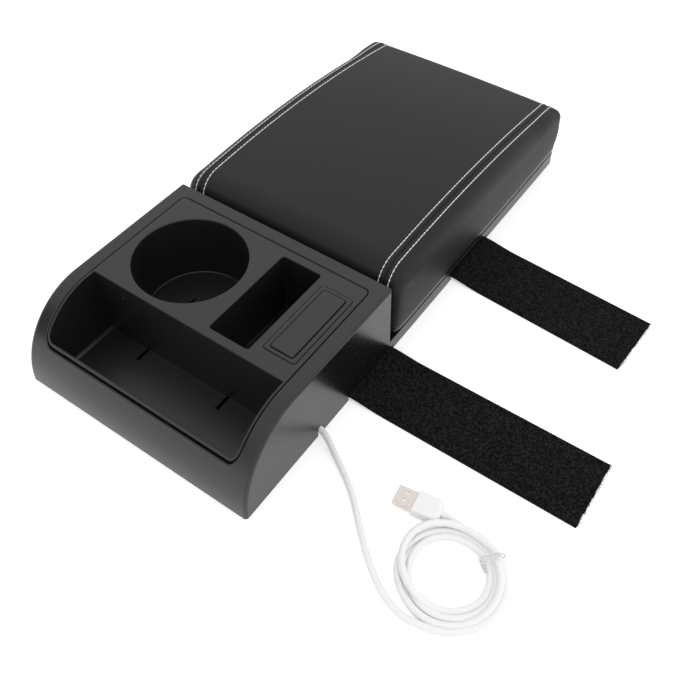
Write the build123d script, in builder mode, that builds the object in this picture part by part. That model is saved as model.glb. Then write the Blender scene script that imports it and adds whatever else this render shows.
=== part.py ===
from build123d import *
import math
import os

os.makedirs("parts", exist_ok=True)

# Car centre armrest: a console with tray, cup well, phone pocket and pop-up USB hub, and a padded lid.
# Millimetres, Z up, floor at Z = 0. The nose faces -Y; the straps and the cable leave on +X.

# What the console holds, from left to right: cup well, phone pocket, USB hub
cup_radius = 37.0
cup_floor_z = 9.5
cup_floor_radius = 1.0
cup_slit_width = 1.6
cup_slit_length = 4.8
cup_slit_left = 10.0
cup_slit_back = 4.6
pocket_width = 29.6
pocket_floor_z = 12.0
pocket_corner = 2.0
cup_lip_radius = 1.0
deck_edge_radius = 0.6
block_width = 16.0
block_length = 53.4
block_engagement = 7.5
block_rise = 0.5
spring_room = 11.2
lift_gap = 0.5
bezel_band_x = 2.95
bezel_band_y = 2.55
bezel_thickness = 1.2
bezel_rise = 0.4
bezel_gap = 0.35
bezel_corner = 2.0
bezel_edge_radius = 0.4
sleeve_corner = 1.8
block_corner = 1.0
block_edge_radius = 0.4
sleeve_wall = 1.4
hub_floor_z = 12.5
hub_floor_thickness = 2.0
block_wall = 1.4
block_top = 2.0
lift_base_thickness = 2.0
lift_base_gap = 0.15
spring_radius = 4.2
spring_wire = 0.45
spring_turns = 5
spring_seat_gap = 0.05
spring_peg_gap = 0.6
spring_peg_height = 3.0

# Webs between them, and the rims round the insert
cup_edge = 5.9
cup_pocket_web = 9.2
pocket_hub_web = 5.5
hub_edge = 3.5
deck_margin = 5.45
pocket_end_web = 6.3
insert_gap = 0.45
side_rim = 12.25
rear_rim = 9.35
insert_wall = 1.5
deck_thickness = 2.4
skirt_depth = 8.0

# Console shell
console_height = 58.8
nose_depth = 52.0
lip_setback = 10.0
tray_length = 57.3
tray_floor_z = 5.5
tray_floor_thickness = 2.2
tray_side_radius = 3.0
tray_lip_radius = 0.5
tray_slot_width = 2.6
tray_slot_length = 10.5
tray_pip_radius = 0.8
tray_pip_height = 0.35
tray_pip_drop = 11.1
left_pip_from_cup = 19.4
right_pip_from_pocket = 2.4
left_slot_from_cup = 8.0
right_slot_from_pocket = 1.6
opening_front_corner = 6.0
opening_rear_corner = 4.0
side_draft = 2.19
wall = 2.4
shell_edge_radius = 2.2
rear_edge_radius = 0.8
opening_edge_radius = 0.8
strip_corner_radius = 3.0

# Base plate, straps and their anchors
plate_thickness = 2.4
plate_gap = 0.45
plate_corner = 1.5
strap_width = 50.0
strap_thickness = 2.0
strap_tuck = 62.0
front_strap_y = 128.5
front_strap_reach = 155.5
rear_strap_y = 257.6
rear_strap_reach = 131.8
rear_strap_skew = -3.73
strap_drop_start = 1.0
strap_drop_run = 23.0
strap_play = 1.0
anchor_thickness = 1.0
anchor_depth = 14.0
anchor_from_end = 4.0
anchor_side_inset = 2.0
anchor_screw_spacing = 30.0
anchor_head = 0.6
floor_clear = 0.25
channel_slack = 0.05
channel_roof = 3.2
channel_wall = 2.0
channel_back = 2.0
channel_past_wall = 10.0
shelf_clear = 0.2

# Lid
lid_gap = 2.6
lid_length = 241.4
lid_crest_z = 66.8
lid_crest_back = 70.4
lid_top_radius = 1000.0
lid_front_roll = 20.0
lid_rear_roll = 16.0
lid_side_roll = 14.0
lid_side_setback = 1.4
lid_lift = 1.3
leather = 1.2
glue_gap = 0.1
foam_side = 4.5
seam_from_side = 11.1
seam_gap = 0.2
pan_wall = 2.4
pan_top_z = 46.0
pan_corner = 9.0
pan_top_radius = 4.0
rim_thickness = 1.8
rim_margin = 0.2
coaming_wall = 2.4
coaming_gap = 2.5
coaming_front_gap = 3.0
coaming_rear_gap = 3.9
bumper_height = 3.3
bumper_length = 16.0
bumper_from_end = 30.0
bumper_side_gap = 0.1
coaming_corner = 5.0
bumper_gap = 0.3

# Lid hinge
hinge_x = 48.0
hinge_rise = 3.7
knuckle_radius = 2.6
base_knuckle_width = 12.0
lid_knuckle_width = 9.0
knuckle_gap = 0.4
hinge_pin_radius = 1.2
pin_press = 0.02
pin_running = 0.05
knuckle_foot = 0.6
knuckle_room = 0.8
knuckle_room_top = 1.5
pin_end_gap = 0.2

# Screws
screw_radius = 1.25
screw_head_radius = 2.7
screw_pilot_gap = 0.05
screw_hole_gap = 0.35
boss_radius = 3.4
boss_gap = 0.1
boss_height = 29.0
side_boss_inset = 6.2
front_boss_back = 22.0
rear_boss_ahead = 7.6
shelf_boss_inset = 9.0
shelf_boss_from_end = 17.5
leg_radius = 3.4
leg_inset = 7.3
leg_from_end = 7.2
web_leg_inset = 5.0
web_leg_from_end = 4.6
pilot_cap = 0.9
screw_tip_gap = 0.4
leg_screw_extra = 4.0

# USB sockets and plug
socket_width = 12.6
socket_height = 5.2
socket_depth = 11.6
socket_wall = 0.4
socket_gap = 0.1
socket_end_gap = 2.1
socket_drop = 12.8
socket_recess = 0.2
insulator_depth = 2.2
insulator_gap = 0.05
socket_tongue_setback = 0.8
socket_tongue_side_gap = 0.8
socket_tongue_height = 1.8
socket_tongue_rise = 0.5
board_gap = 0.2
board_thickness = 1.2
board_height = 16.0
board_end_gap = 1.0
plug_width = 12.0
plug_height = 4.5
plug_reach = 11.8
plug_skin = 0.4
plug_corner = 0.6
grip_width = 14.4
grip_height = 7.8
grip_length = 16.6
grip_corner = 1.6
grip_edge_radius = 0.7
grip_taper_length = 3.0
grip_taper_width = 5.0
grip_taper_height = 1.8
neck_wall = 0.5
neck_length = 3.6
latch_hole = 2.4
latch_spacing = 5.0
latch_setback = 5.6
plug_tongue_setback = 0.4
plug_tongue_gap = 0.05
plug_tongue_height = 1.8
plug_tip_reach = 61.5
plug_tip_back = 61.3
plug_z = 4.2
plug_turn = 8.0

# Cable
cable_radius = 2.1
coil_outer_radius = 33.0
coil_inner_radius = 20.3
coil_height = 8.0
coil_clear = 0.5
coil_reach = 111.5
coil_back = 38.4
tie_angle = 51.0
tie_width = 3.5
tie_gap = 0.25
tie_thickness = 0.25
cable_hole_gap = 0.12
notch_gap = 0.6
clamp_length = 7.6
clamp_width = 12.0
clamp_cap = 1.6
clamp_joint_gap = 0.5
hub_lead_drop_radius = 5.0
hub_lead_turn_radius = 8.0

# Outline sizes that follow
bezel_width = block_width + 2 * (lift_gap + bezel_band_x)
bezel_length = block_length + 2 * (lift_gap + bezel_band_y)
insert_width = (
    cup_edge + 2 * cup_radius + cup_pocket_web + pocket_width + pocket_hub_web + bezel_width + hub_edge
)
half_insert = insert_width / 2
half_opening = half_insert + insert_gap
half_width = half_opening + side_rim
deck_length = 2 * (cup_radius + deck_margin)
pocket_length = deck_length - 2 * pocket_end_web
console_length = tray_length + deck_length + insert_gap + rear_rim
length = console_length + lid_gap + lid_length
front_y = -length / 2
rear_y = length / 2
lip_y = front_y + lip_setback
deck_front_y = front_y + tray_length
deck_rear_y = deck_front_y + deck_length
deck_y = (deck_front_y + deck_rear_y) / 2
console_rear_y = front_y + console_length
lid_front_y = console_rear_y + lid_gap
draft_slope = math.tan(math.radians(side_draft))
cup_x = cup_edge + cup_radius - half_insert
pocket_x = cup_x + cup_radius + cup_pocket_web + pocket_width / 2
hub_x = pocket_x + pocket_width / 2 + pocket_hub_web + bezel_width / 2

# Heights of the strap channels, the shelf over them and the lid's lower edge
anchor_z = floor_clear + anchor_head
strap_in_z = anchor_z + anchor_thickness
channel_depth = strap_in_z + strap_thickness + channel_slack
anchor_x = anchor_from_end + anchor_depth / 2 - strap_tuck
strip_height = channel_depth + channel_roof + shelf_clear + wall
shelf_z = strip_height - wall
rim_z = strip_height + lid_lift
rim_top_z = rim_z + rim_thickness
cover_z = rim_top_z + glue_gap
hinge_z = strip_height + hinge_rise
hinge_y = rear_y - knuckle_radius
pan_ceiling_z = pan_top_z - pan_wall
coaming_top_z = pan_ceiling_z - bumper_height - bumper_gap

# Lid and tub outlines, from the leather inwards
half_lid = half_width - strip_height * draft_slope - lid_side_setback
pan_inset = leather + foam_side
half_pan = half_lid - pan_inset
pan_front_y = lid_front_y + pan_inset
pan_rear_y = rear_y - pan_inset
half_coaming = half_pan - pan_wall - coaming_gap
coaming_front_y = pan_front_y + pan_wall + coaming_front_gap
coaming_rear_y = pan_rear_y - pan_wall - coaming_rear_gap
seam_x = half_lid - seam_from_side
lid_crest_y = lid_front_y + lid_crest_back

# Hub heights and outlines
sleeve_width = block_width + 2 * (lift_gap + sleeve_wall)
sleeve_length = block_length + 2 * (lift_gap + sleeve_wall)
hub_floor_top_z = hub_floor_z + hub_floor_thickness
block_z = hub_floor_top_z + spring_room
bezel_top_z = console_height + bezel_rise
block_top_z = bezel_top_z + block_rise
block_height = block_top_z - block_z
print("hub travel", round(block_height - block_rise - block_engagement, 2))
port_z = block_top_z - socket_drop
socket_pitch = block_length / 2 - block_wall - socket_end_gap - socket_width / 2 - socket_wall
port_ys = [deck_y - socket_pitch, deck_y, deck_y + socket_pitch]
spring_offset = block_length / 3
spring_peg_radius = spring_radius - spring_wire - spring_peg_gap
hub_lead_y = deck_y - spring_offset / 2

# Fastener positions
base_screw_points = [
    (sign * x, y)
    for sign in (-1, 1)
    for x, y in (
        (half_width - side_boss_inset, front_y + front_boss_back),
        (half_width - side_boss_inset, deck_y - rear_boss_ahead),
        (half_width - shelf_boss_inset, lid_front_y + shelf_boss_from_end),
        (half_width - shelf_boss_inset, rear_y - shelf_boss_from_end),
    )
]
leg_points = [
    (leg_inset - half_insert, deck_rear_y - leg_from_end),
    (leg_inset - half_insert, deck_front_y + leg_from_end),
    (half_insert - leg_inset, deck_front_y + leg_from_end),
    (pocket_x - pocket_width / 2 - web_leg_inset, deck_rear_y - web_leg_from_end),
]

# Straps: where each leaves the side, how far it reaches and how much it leans
strap_plans = {
    "front_strap": (front_y + front_strap_y, front_strap_reach, 0.0),
    "rear_strap": (front_y + rear_strap_y, rear_strap_reach, rear_strap_skew),
}

# Cable route along the floor, from the clamp inside the housing to the coil: reach from the right side,
# distance behind the nose, height
lead_route_points = [
    (-7.6, 73.5, 4.75),
    (0.5, 72.6, 4.75),
    (8.5, 68.8, 3.9),
    (17.5, 63.1, 2.5),
    (30.3, 55.1, 2.15),
    (42.2, 46.1, 2.15),
    (54.9, 33.2, 2.15),
    (68.6, 20.4, 2.15),
    (81.5, 10.7, 2.15),
    (92.9, 5.4, 2.15),
    (104.4, 3.0, 2.15),
    (115.3, 4.9, 2.2),
]
lead_points = [(half_width + out, front_y + back, rise) for out, back, rise in lead_route_points]
notch_y = lead_points[1][1]
notch_z = lead_points[1][2]
coil_x = half_width + coil_reach
coil_y = front_y + coil_back
coil_z = coil_clear + coil_height / 2
plug_x = half_width + plug_tip_reach
plug_y = front_y + plug_tip_back
clamp_x = lead_points[0][0] - clamp_joint_gap - clamp_length / 2
clamp_y = lead_points[0][1]
clamp_z = lead_points[0][2]


def body_form(inset):
    """Solid of the housing: elliptical nose, flat console top, low rear strip, sides leaning in."""
    nose_y = front_y + nose_depth
    top_z = console_height - inset
    under_z = -plate_thickness
    half_foot = half_width - inset - under_z * draft_slope
    half_top = half_width - inset - console_height * draft_slope
    with BuildPart() as form:
        with BuildSketch(Plane.YZ):
            with BuildLine():
                EllipticalCenterArc((nose_y, 0), nose_depth - inset, top_z, 90, arc_size=90)
                Polyline(
                    (nose_y, top_z),
                    (console_rear_y - inset, top_z),
                    (console_rear_y - inset, strip_height - inset),
                    (rear_y - inset, strip_height - inset),
                    (rear_y - inset, under_z),
                    (front_y + inset, under_z),
                    (front_y + inset, 0),
                )
            make_face()
        extrude(amount=2 * half_width, both=True)
        with BuildSketch(Plane.XZ):
            with BuildLine():
                Polyline(
                    (-half_foot, under_z),
                    (half_foot, under_z),
                    (half_top, console_height),
                    (-half_top, console_height),
                    close=True,
                )
            make_face()
        extrude(amount=length, both=True, mode=Mode.INTERSECT)
    return form.part


def outer_z(y):
    """Height of the console's outer surface over its nose and flat top."""
    ahead = max(0.0, front_y + nose_depth - y)
    return console_height * math.sqrt(max(0.0, 1 - (ahead / nose_depth) ** 2))


def opening_form(inset):
    """Upright prism of the opening in the console top, with rounded plan corners."""
    with BuildPart() as form:
        with BuildSketch(Plane.XY) as outline:
            with Locations((0, (lip_y + deck_rear_y + insert_gap) / 2)):
                Rectangle(2 * (half_opening - inset), deck_rear_y + insert_gap - lip_y - 2 * inset)
            fillet(outline.vertices().group_by(Axis.Y)[0], opening_front_corner - inset)
            fillet(outline.vertices().group_by(Axis.Y)[-1], opening_rear_corner - inset)
        extrude(amount=console_height + skirt_depth)
    return form.part


def crest_z(y, inset):
    """Height of the lid's crowned top at a distance along the lid."""
    radius = lid_top_radius - inset
    return lid_crest_z - lid_top_radius + math.sqrt(radius**2 - (y - lid_crest_y) ** 2)


def lid_form(inset):
    """Solid of the padded lid: crowned top, rolled front and rear, rolled sides, flat underside."""
    fore = lid_front_y + inset
    aft = rear_y - inset
    middle = (fore + aft) / 2
    with BuildPart() as form:
        with BuildSketch(Plane.YZ) as side_view:
            with BuildLine():
                ThreePointArc(
                    (fore, crest_z(fore, inset)), (middle, crest_z(middle, inset)), (aft, crest_z(aft, inset))
                )
                Polyline(
                    (aft, crest_z(aft, inset)), (aft, cover_z), (fore, cover_z), (fore, crest_z(fore, inset))
                )
            make_face()
            fillet(side_view.vertices().group_by(Axis.X)[0].sort_by(Axis.Y)[-1], lid_front_roll - inset)
            fillet(side_view.vertices().group_by(Axis.X)[-1].sort_by(Axis.Y)[-1], lid_rear_roll - inset)
        extrude(amount=half_lid - inset, both=True)
        sides = form.faces().filter_by(Axis.X)
        fillet(
            sides.edges().filter_by(lambda edge: edge.bounding_box().max.Z > cover_z + 1),
            lid_side_roll - inset,
        )
    return form.part


def strap_plane(strap_y, skew):
    """Plane at the side of the housing with its X axis along the strap."""
    turn = math.radians(skew)
    return Plane(origin=(half_width, strap_y, 0), x_dir=(math.cos(turn), math.sin(turn), 0), z_dir=(0, 0, 1))


def strap_side_plane(strap_y, skew):
    """Upright plane along the middle of the strap: X along it, Y up."""
    turn = math.radians(skew)
    return Plane(
        origin=(half_width, strap_y, 0),
        x_dir=(math.cos(turn), math.sin(turn), 0),
        z_dir=(math.sin(turn), -math.cos(turn), 0),
    )


def channel_form(strap_y, skew):
    """Room for one strap under the base plate and out through the side wall."""
    with BuildPart() as form:
        with BuildSketch(strap_plane(strap_y, skew).offset(-plate_thickness)):
            with Locations(((channel_past_wall - channel_back - strap_tuck) / 2, 0)):
                Rectangle(channel_past_wall + channel_back + strap_tuck, strap_width + 2 * strap_play)
        extrude(amount=plate_thickness + channel_depth)
    return form.part


def countersunk_screw(tip_z):
    """Countersunk screw from the underside of the base plate up to its tip."""
    head_z = floor_clear
    neck_z = head_z + screw_head_radius - screw_radius
    with BuildPart() as screw:
        with BuildSketch(Plane.XZ):
            with BuildLine():
                Polyline(
                    (0, head_z),
                    (screw_head_radius, head_z),
                    (screw_radius, neck_z),
                    (screw_radius, tip_z - screw_radius / 2),
                    (screw_radius / 2, tip_z),
                    (0, tip_z),
                    close=True,
                )
            make_face()
        revolve(axis=Axis.Z)
    return screw.part


# Main housing: nose, console walls, low strip under the lid, tub coaming, screw bosses and hinge knuckles
pilot_radius = screw_radius + screw_pilot_gap
boss_z = plate_thickness + boss_gap
pilot_top_z = strip_height - pilot_cap
leg_pilot_top_z = pilot_top_z + leg_screw_extra
with BuildPart() as main_housing:
    add(body_form(0))
    crest_edges = main_housing.edges().filter_by(
        lambda edge: edge.bounding_box().max.Z > console_height - 0.1 and abs(edge.center().X) > half_opening
    )
    fillet(crest_edges, shell_edge_radius)
    rear_edge = main_housing.edges().filter_by(
        lambda edge: edge.center().Z > console_height - shell_edge_radius
        and edge.bounding_box().min.Y > console_rear_y - 0.1
    )
    fillet(rear_edge, rear_edge_radius)
    rear_corners = main_housing.edges().filter_by(
        lambda edge: edge.center().Y > rear_y - 1 and edge.bounding_box().size.Z > strip_height
    )
    fillet(rear_corners, strip_corner_radius)
    add(body_form(wall), mode=Mode.SUBTRACT)
    add(opening_form(0), mode=Mode.SUBTRACT)
    opening_edges = main_housing.edges().filter_by(
        lambda edge: edge.center().Y > lip_y - 0.1
        and max(abs(edge.bounding_box().min.X), abs(edge.bounding_box().max.X)) < half_opening + 0.1
        and all(abs(corner.Z - outer_z(corner.Y)) < 0.1 for corner in edge.vertices())
    )
    fillet(opening_edges, opening_edge_radius)
    split(bisect_by=Plane.XY, keep=Keep.TOP)
    with BuildSketch(Plane.XY.offset(strip_height - wall / 2)):
        with Locations((0, (coaming_front_y + coaming_rear_y) / 2)):
            RectangleRounded(
                2 * half_coaming, coaming_rear_y - coaming_front_y, coaming_corner + coaming_wall
            )
            RectangleRounded(
                2 * (half_coaming - coaming_wall),
                coaming_rear_y - coaming_front_y - 2 * coaming_wall,
                coaming_corner,
                mode=Mode.SUBTRACT,
            )
    extrude(amount=coaming_top_z - strip_height + wall / 2)
    with BuildSketch(Plane.XY.offset(boss_z)):
        with Locations(*[point for point in base_screw_points if point[1] < console_rear_y]):
            Circle(boss_radius)
    extrude(amount=boss_height)
    with BuildSketch(Plane.XY.offset(boss_z)):
        with Locations(*[point for point in base_screw_points if point[1] > console_rear_y]):
            Circle(boss_radius)
    extrude(amount=shelf_z + wall / 2 - boss_z)
    with Locations(*[Location((x, y, boss_z), (180, 0, 0)) for x, y in base_screw_points]):
        Hole(pilot_radius, depth=pilot_top_z - boss_z)
    for strap_y, reach, skew in strap_plans.values():
        add(channel_form(strap_y, skew), mode=Mode.SUBTRACT)
    with BuildSketch(Plane.YZ.offset(half_width - 2 * wall)):
        with Locations((notch_y, notch_z)):
            Circle(cable_radius + notch_gap)
        with Locations((notch_y, notch_z / 2)):
            Rectangle(2 * (cable_radius + notch_gap), notch_z)
    extrude(amount=3 * wall, mode=Mode.SUBTRACT)
    for side in (-1, 1):
        with BuildSketch(Plane.YZ.offset(side * hinge_x - base_knuckle_width / 2)):
            with Locations((hinge_y, hinge_z)):
                Circle(knuckle_radius)
            with Locations((hinge_y, (strip_height - knuckle_foot + hinge_z) / 2)):
                Rectangle(2 * knuckle_radius, hinge_z - strip_height + knuckle_foot)
            with Locations((hinge_y, hinge_z)):
                Circle(hinge_pin_radius + pin_press, mode=Mode.SUBTRACT)
        extrude(amount=base_knuckle_width)
main_housing.part.label = "main_housing"
export_step(main_housing.part, "parts/main_housing.step")

# Console insert: deck with cup well, phone pocket and hub opening, front tray, skirt and screw legs
tray_front_y = lip_y + insert_gap + insert_wall
with BuildPart() as tray_hollow:
    with BuildSketch(Plane.XY.offset(tray_floor_z)):
        with Locations((0, (tray_front_y + deck_front_y) / 2)):
            Rectangle(2 * (half_insert - insert_wall), deck_front_y - tray_front_y)
    extrude(amount=console_height)
    side_creases = tray_hollow.edges().filter_by(Axis.Y).group_by(Axis.Z)[0]
    fillet(side_creases, tray_side_radius)
    front_corners = tray_hollow.edges().filter_by(Axis.Z).group_by(Axis.Y)[0]
    fillet(front_corners, opening_front_corner - insert_gap - insert_wall)

deck_bottom_z = console_height - deck_thickness
slot_xs = [cup_x - left_slot_from_cup, pocket_x - right_slot_from_pocket]
pip_xs = [cup_x - left_pip_from_cup, pocket_x + right_pip_from_pocket]
with BuildPart() as console_insert:
    with BuildSketch(Plane.XY.offset(tray_floor_z - tray_floor_thickness)):
        with Locations((0, (lip_y + insert_gap + deck_front_y + insert_wall) / 2)):
            Rectangle(insert_width, deck_front_y + insert_wall - lip_y - insert_gap)
    extrude(amount=console_height - tray_floor_z + tray_floor_thickness)
    with BuildSketch(Plane.XY.offset(console_height - skirt_depth)):
        with Locations((0, deck_y)):
            Rectangle(insert_width, deck_length)
            Rectangle(insert_width - 2 * insert_wall, deck_length - 2 * insert_wall, mode=Mode.SUBTRACT)
    extrude(amount=skirt_depth)
    with BuildSketch(Plane.XY.offset(deck_bottom_z)):
        with Locations((0, deck_y)):
            Rectangle(insert_width, deck_length)
    extrude(amount=deck_thickness)
    with BuildSketch(Plane.XY.offset(cup_floor_z - insert_wall)):
        with Locations((cup_x, deck_y)):
            Circle(cup_radius + insert_wall)
    extrude(amount=deck_bottom_z - cup_floor_z + insert_wall)
    with BuildSketch(Plane.XY.offset(pocket_floor_z - insert_wall)):
        with Locations((pocket_x, deck_y)):
            RectangleRounded(
                pocket_width + 2 * insert_wall, pocket_length + 2 * insert_wall, pocket_corner + insert_wall
            )
    extrude(amount=deck_bottom_z - pocket_floor_z + insert_wall)
    with BuildSketch(Plane.XY.offset(boss_z)):
        with Locations(*leg_points):
            Circle(leg_radius)
    extrude(amount=deck_bottom_z - boss_z)
    add(opening_form(insert_gap), mode=Mode.INTERSECT)
    add(tray_hollow.part, mode=Mode.SUBTRACT)
    with BuildSketch(Plane.XY.offset(cup_floor_z)):
        with Locations((cup_x, deck_y)):
            Circle(cup_radius)
    extrude(amount=console_height, mode=Mode.SUBTRACT)
    with BuildSketch(Plane.XY.offset(pocket_floor_z)):
        with Locations((pocket_x, deck_y)):
            RectangleRounded(pocket_width, pocket_length, pocket_corner)
    extrude(amount=console_height, mode=Mode.SUBTRACT)
    with BuildSketch(Plane.XY.offset(console_height - skirt_depth)):
        with Locations((hub_x, deck_y)):
            RectangleRounded(
                sleeve_width + 2 * bezel_gap, sleeve_length + 2 * bezel_gap, sleeve_corner + bezel_gap
            )
    extrude(amount=console_height, mode=Mode.SUBTRACT)
    with BuildSketch(Plane.XY.offset(console_height - bezel_thickness)):
        with Locations((hub_x, deck_y)):
            RectangleRounded(
                bezel_width + 2 * bezel_gap, bezel_length + 2 * bezel_gap, bezel_corner + bezel_gap
            )
    extrude(amount=console_height, mode=Mode.SUBTRACT)
    with BuildSketch(Plane.XY):
        with Locations(*[(x, deck_front_y - tray_slot_length / 2) for x in slot_xs]):
            Rectangle(tray_slot_width, tray_slot_length)
    extrude(amount=tray_floor_z + tray_floor_thickness, mode=Mode.SUBTRACT)
    with BuildSketch(Plane.XY):
        with Locations((cup_x - cup_slit_left, deck_y + cup_slit_back)):
            Rectangle(cup_slit_width, cup_slit_length)
    extrude(amount=cup_floor_z + insert_wall, mode=Mode.SUBTRACT)
    with BuildSketch(Plane.XZ.offset(-deck_front_y - insert_wall / 2)):
        with Locations(*[(x, console_height - tray_pip_drop) for x in pip_xs]):
            Circle(tray_pip_radius)
    extrude(amount=tray_pip_height + insert_wall / 2)
    with Locations(*[Location((x, y, boss_z), (180, 0, 0)) for x, y in leg_points]):
        Hole(pilot_radius, depth=leg_pilot_top_z - boss_z)
    add(body_form(0), mode=Mode.INTERSECT)
    rims = console_insert.faces().filter_by(Axis.Z).sort_by(Axis.Z)[-1].edges()
    cup_rim = rims.filter_by(GeomType.CIRCLE).filter_by(lambda edge: edge.radius > cup_radius - 1)
    fillet(cup_rim, cup_lip_radius)
    cup_foot = console_insert.edges().filter_by(GeomType.CIRCLE).filter_by(
        lambda edge: abs(edge.radius - cup_radius) < 0.1 and abs(edge.center().Z - cup_floor_z) < 0.1
    )
    fillet(cup_foot, cup_floor_radius)
    pocket_edges = console_insert.edges().filter_by(
        lambda edge: edge.bounding_box().min.Z > console_height - 0.1
        and abs(edge.center().X - pocket_x) < pocket_width / 2 + 0.1
        and abs(edge.center().Y - deck_y) < pocket_length / 2 + 0.1
    )
    fillet(pocket_edges, deck_edge_radius)
    front_edge = console_insert.edges().filter_by(Axis.X).filter_by(
        lambda edge: abs(edge.center().Y - deck_front_y) < 0.1 and edge.center().Z > console_height - 0.1
    )
    fillet(front_edge, deck_edge_radius)
    outer_edges = console_insert.edges().filter_by(
        lambda edge: (
            edge.center().Y > deck_rear_y - 0.1
            or edge.bounding_box().size.Y > deck_edge_radius
            and max(abs(edge.bounding_box().min.X), abs(edge.bounding_box().max.X)) > half_insert - 0.1
        )
        and all(abs(corner.Z - outer_z(corner.Y)) < 0.1 for corner in edge.vertices())
    )
    fillet(outer_edges, deck_edge_radius)
    tray_lip = console_insert.edges().filter_by(
        lambda edge: edge.center().Y < deck_front_y
        and insert_wall < abs(edge.center().X) < half_insert - insert_wall + 0.1
        and all(abs(corner.Z - outer_z(corner.Y)) < 0.1 for corner in edge.vertices())
    )
    fillet(tray_lip, tray_lip_radius)
console_insert.part.label = "console_insert"
export_step(console_insert.part, "parts/console_insert.step")

# Base plate: closes the housing from below and carries the two strap channels
half_plate = half_width - wall - plate_gap
plate_front_y = front_y + wall + plate_gap
plate_rear_y = rear_y - wall - plate_gap
with BuildPart() as base_plate:
    with BuildSketch(Plane.XY):
        with Locations((0, (plate_front_y + plate_rear_y) / 2)):
            RectangleRounded(2 * half_plate, plate_rear_y - plate_front_y, plate_corner)
    extrude(amount=plate_thickness)
    for strap_y, reach, skew in strap_plans.values():
        lean = -math.tan(math.radians(skew)) * strap_tuck / 2
        box_start_x = half_width - strap_tuck - channel_back - channel_wall
        box_width = strap_width + 2 * (strap_play + channel_wall + abs(lean))
        with BuildSketch(Plane.XY):
            with Locations(((box_start_x + half_plate) / 2, strap_y + lean)):
                Rectangle(half_plate - box_start_x, box_width)
        extrude(amount=channel_depth + channel_roof)
        add(channel_form(strap_y, skew), mode=Mode.SUBTRACT)
        with BuildSketch(strap_plane(strap_y, skew).offset(channel_depth)):
            with Locations((anchor_x, 0)):
                with GridLocations(1, anchor_screw_spacing, 1, 2):
                    Circle(pilot_radius)
        extrude(amount=channel_roof, mode=Mode.SUBTRACT)
    with Locations(*[Location((x, y, 0), (180, 0, 0)) for x, y in base_screw_points + leg_points]):
        CounterSinkHole(
            screw_radius + screw_hole_gap,
            screw_head_radius + screw_hole_gap,
            depth=plate_thickness,
            counter_sink_angle=90,
        )
base_plate.part.label = "base_plate"
export_step(base_plate.part, "parts/base_plate.step")

# Screws through the base plate: eight into the housing, four into the insert's legs
base_screw = countersunk_screw(pilot_top_z - screw_tip_gap)
with BuildPart() as base_screws:
    with Locations(*base_screw_points):
        add(base_screw)
base_screws.part.label = "base_screws"
export_step(base_screws.part, "parts/base_screws.step")

insert_screw = countersunk_screw(leg_pilot_top_z - screw_tip_gap)
with BuildPart() as insert_screws:
    with Locations(*leg_points):
        add(insert_screw)
insert_screws.part.label = "insert_screws"
export_step(insert_screws.part, "parts/insert_screws.step")

# Straps: clamped flat in their channels, out under the side wall and down onto the floor
for strap_name, (strap_y, reach, skew) in strap_plans.items():
    with BuildPart() as strap:
        with BuildSketch(strap_side_plane(strap_y, skew)):
            with BuildLine():
                Polyline(
                    (-strap_tuck, strap_in_z),
                    (strap_drop_start, strap_in_z),
                    (strap_drop_start + strap_drop_run, floor_clear),
                    (reach, floor_clear),
                    (reach, floor_clear + strap_thickness),
                    (strap_drop_start + strap_drop_run, floor_clear + strap_thickness),
                    (strap_drop_start, strap_in_z + strap_thickness),
                    (-strap_tuck, strap_in_z + strap_thickness),
                    close=True,
                )
            make_face()
        extrude(amount=strap_width / 2, both=True)
        with BuildSketch(strap_plane(strap_y, skew).offset(strap_in_z)):
            with Locations((anchor_x, 0)):
                with GridLocations(1, anchor_screw_spacing, 1, 2):
                    Circle(screw_radius + screw_hole_gap)
        extrude(amount=strap_thickness, mode=Mode.SUBTRACT)
    strap.part.label = strap_name
    export_step(strap.part, f"parts/{strap_name}.step")

# Anchor plates and pan-head screws that clamp the straps up against the channel roofs
with BuildPart() as strap_anchors:
    for strap_y, reach, skew in strap_plans.values():
        with BuildSketch(strap_plane(strap_y, skew).offset(anchor_z)):
            with Locations((anchor_x, 0)):
                RectangleRounded(anchor_depth, strap_width - 2 * anchor_side_inset, anchor_side_inset)
                with GridLocations(1, anchor_screw_spacing, 1, 2):
                    Circle(screw_radius + screw_hole_gap, mode=Mode.SUBTRACT)
        extrude(amount=anchor_thickness)
strap_anchors.part.label = "strap_anchors"
export_step(strap_anchors.part, "parts/strap_anchors.step")

with BuildPart() as anchor_screws:
    for strap_y, reach, skew in strap_plans.values():
        with BuildSketch(strap_plane(strap_y, skew).offset(floor_clear)):
            with Locations((anchor_x, 0)):
                with GridLocations(1, anchor_screw_spacing, 1, 2):
                    Circle(screw_head_radius)
        extrude(amount=anchor_head)
        with BuildSketch(strap_plane(strap_y, skew).offset(anchor_z)):
            with Locations((anchor_x, 0)):
                with GridLocations(1, anchor_screw_spacing, 1, 2):
                    Circle(screw_radius)
        extrude(amount=channel_depth + channel_roof - anchor_z - shelf_clear)
anchor_screws.part.label = "anchor_screws"
export_step(anchor_screws.part, "parts/anchor_screws.step")

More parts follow.
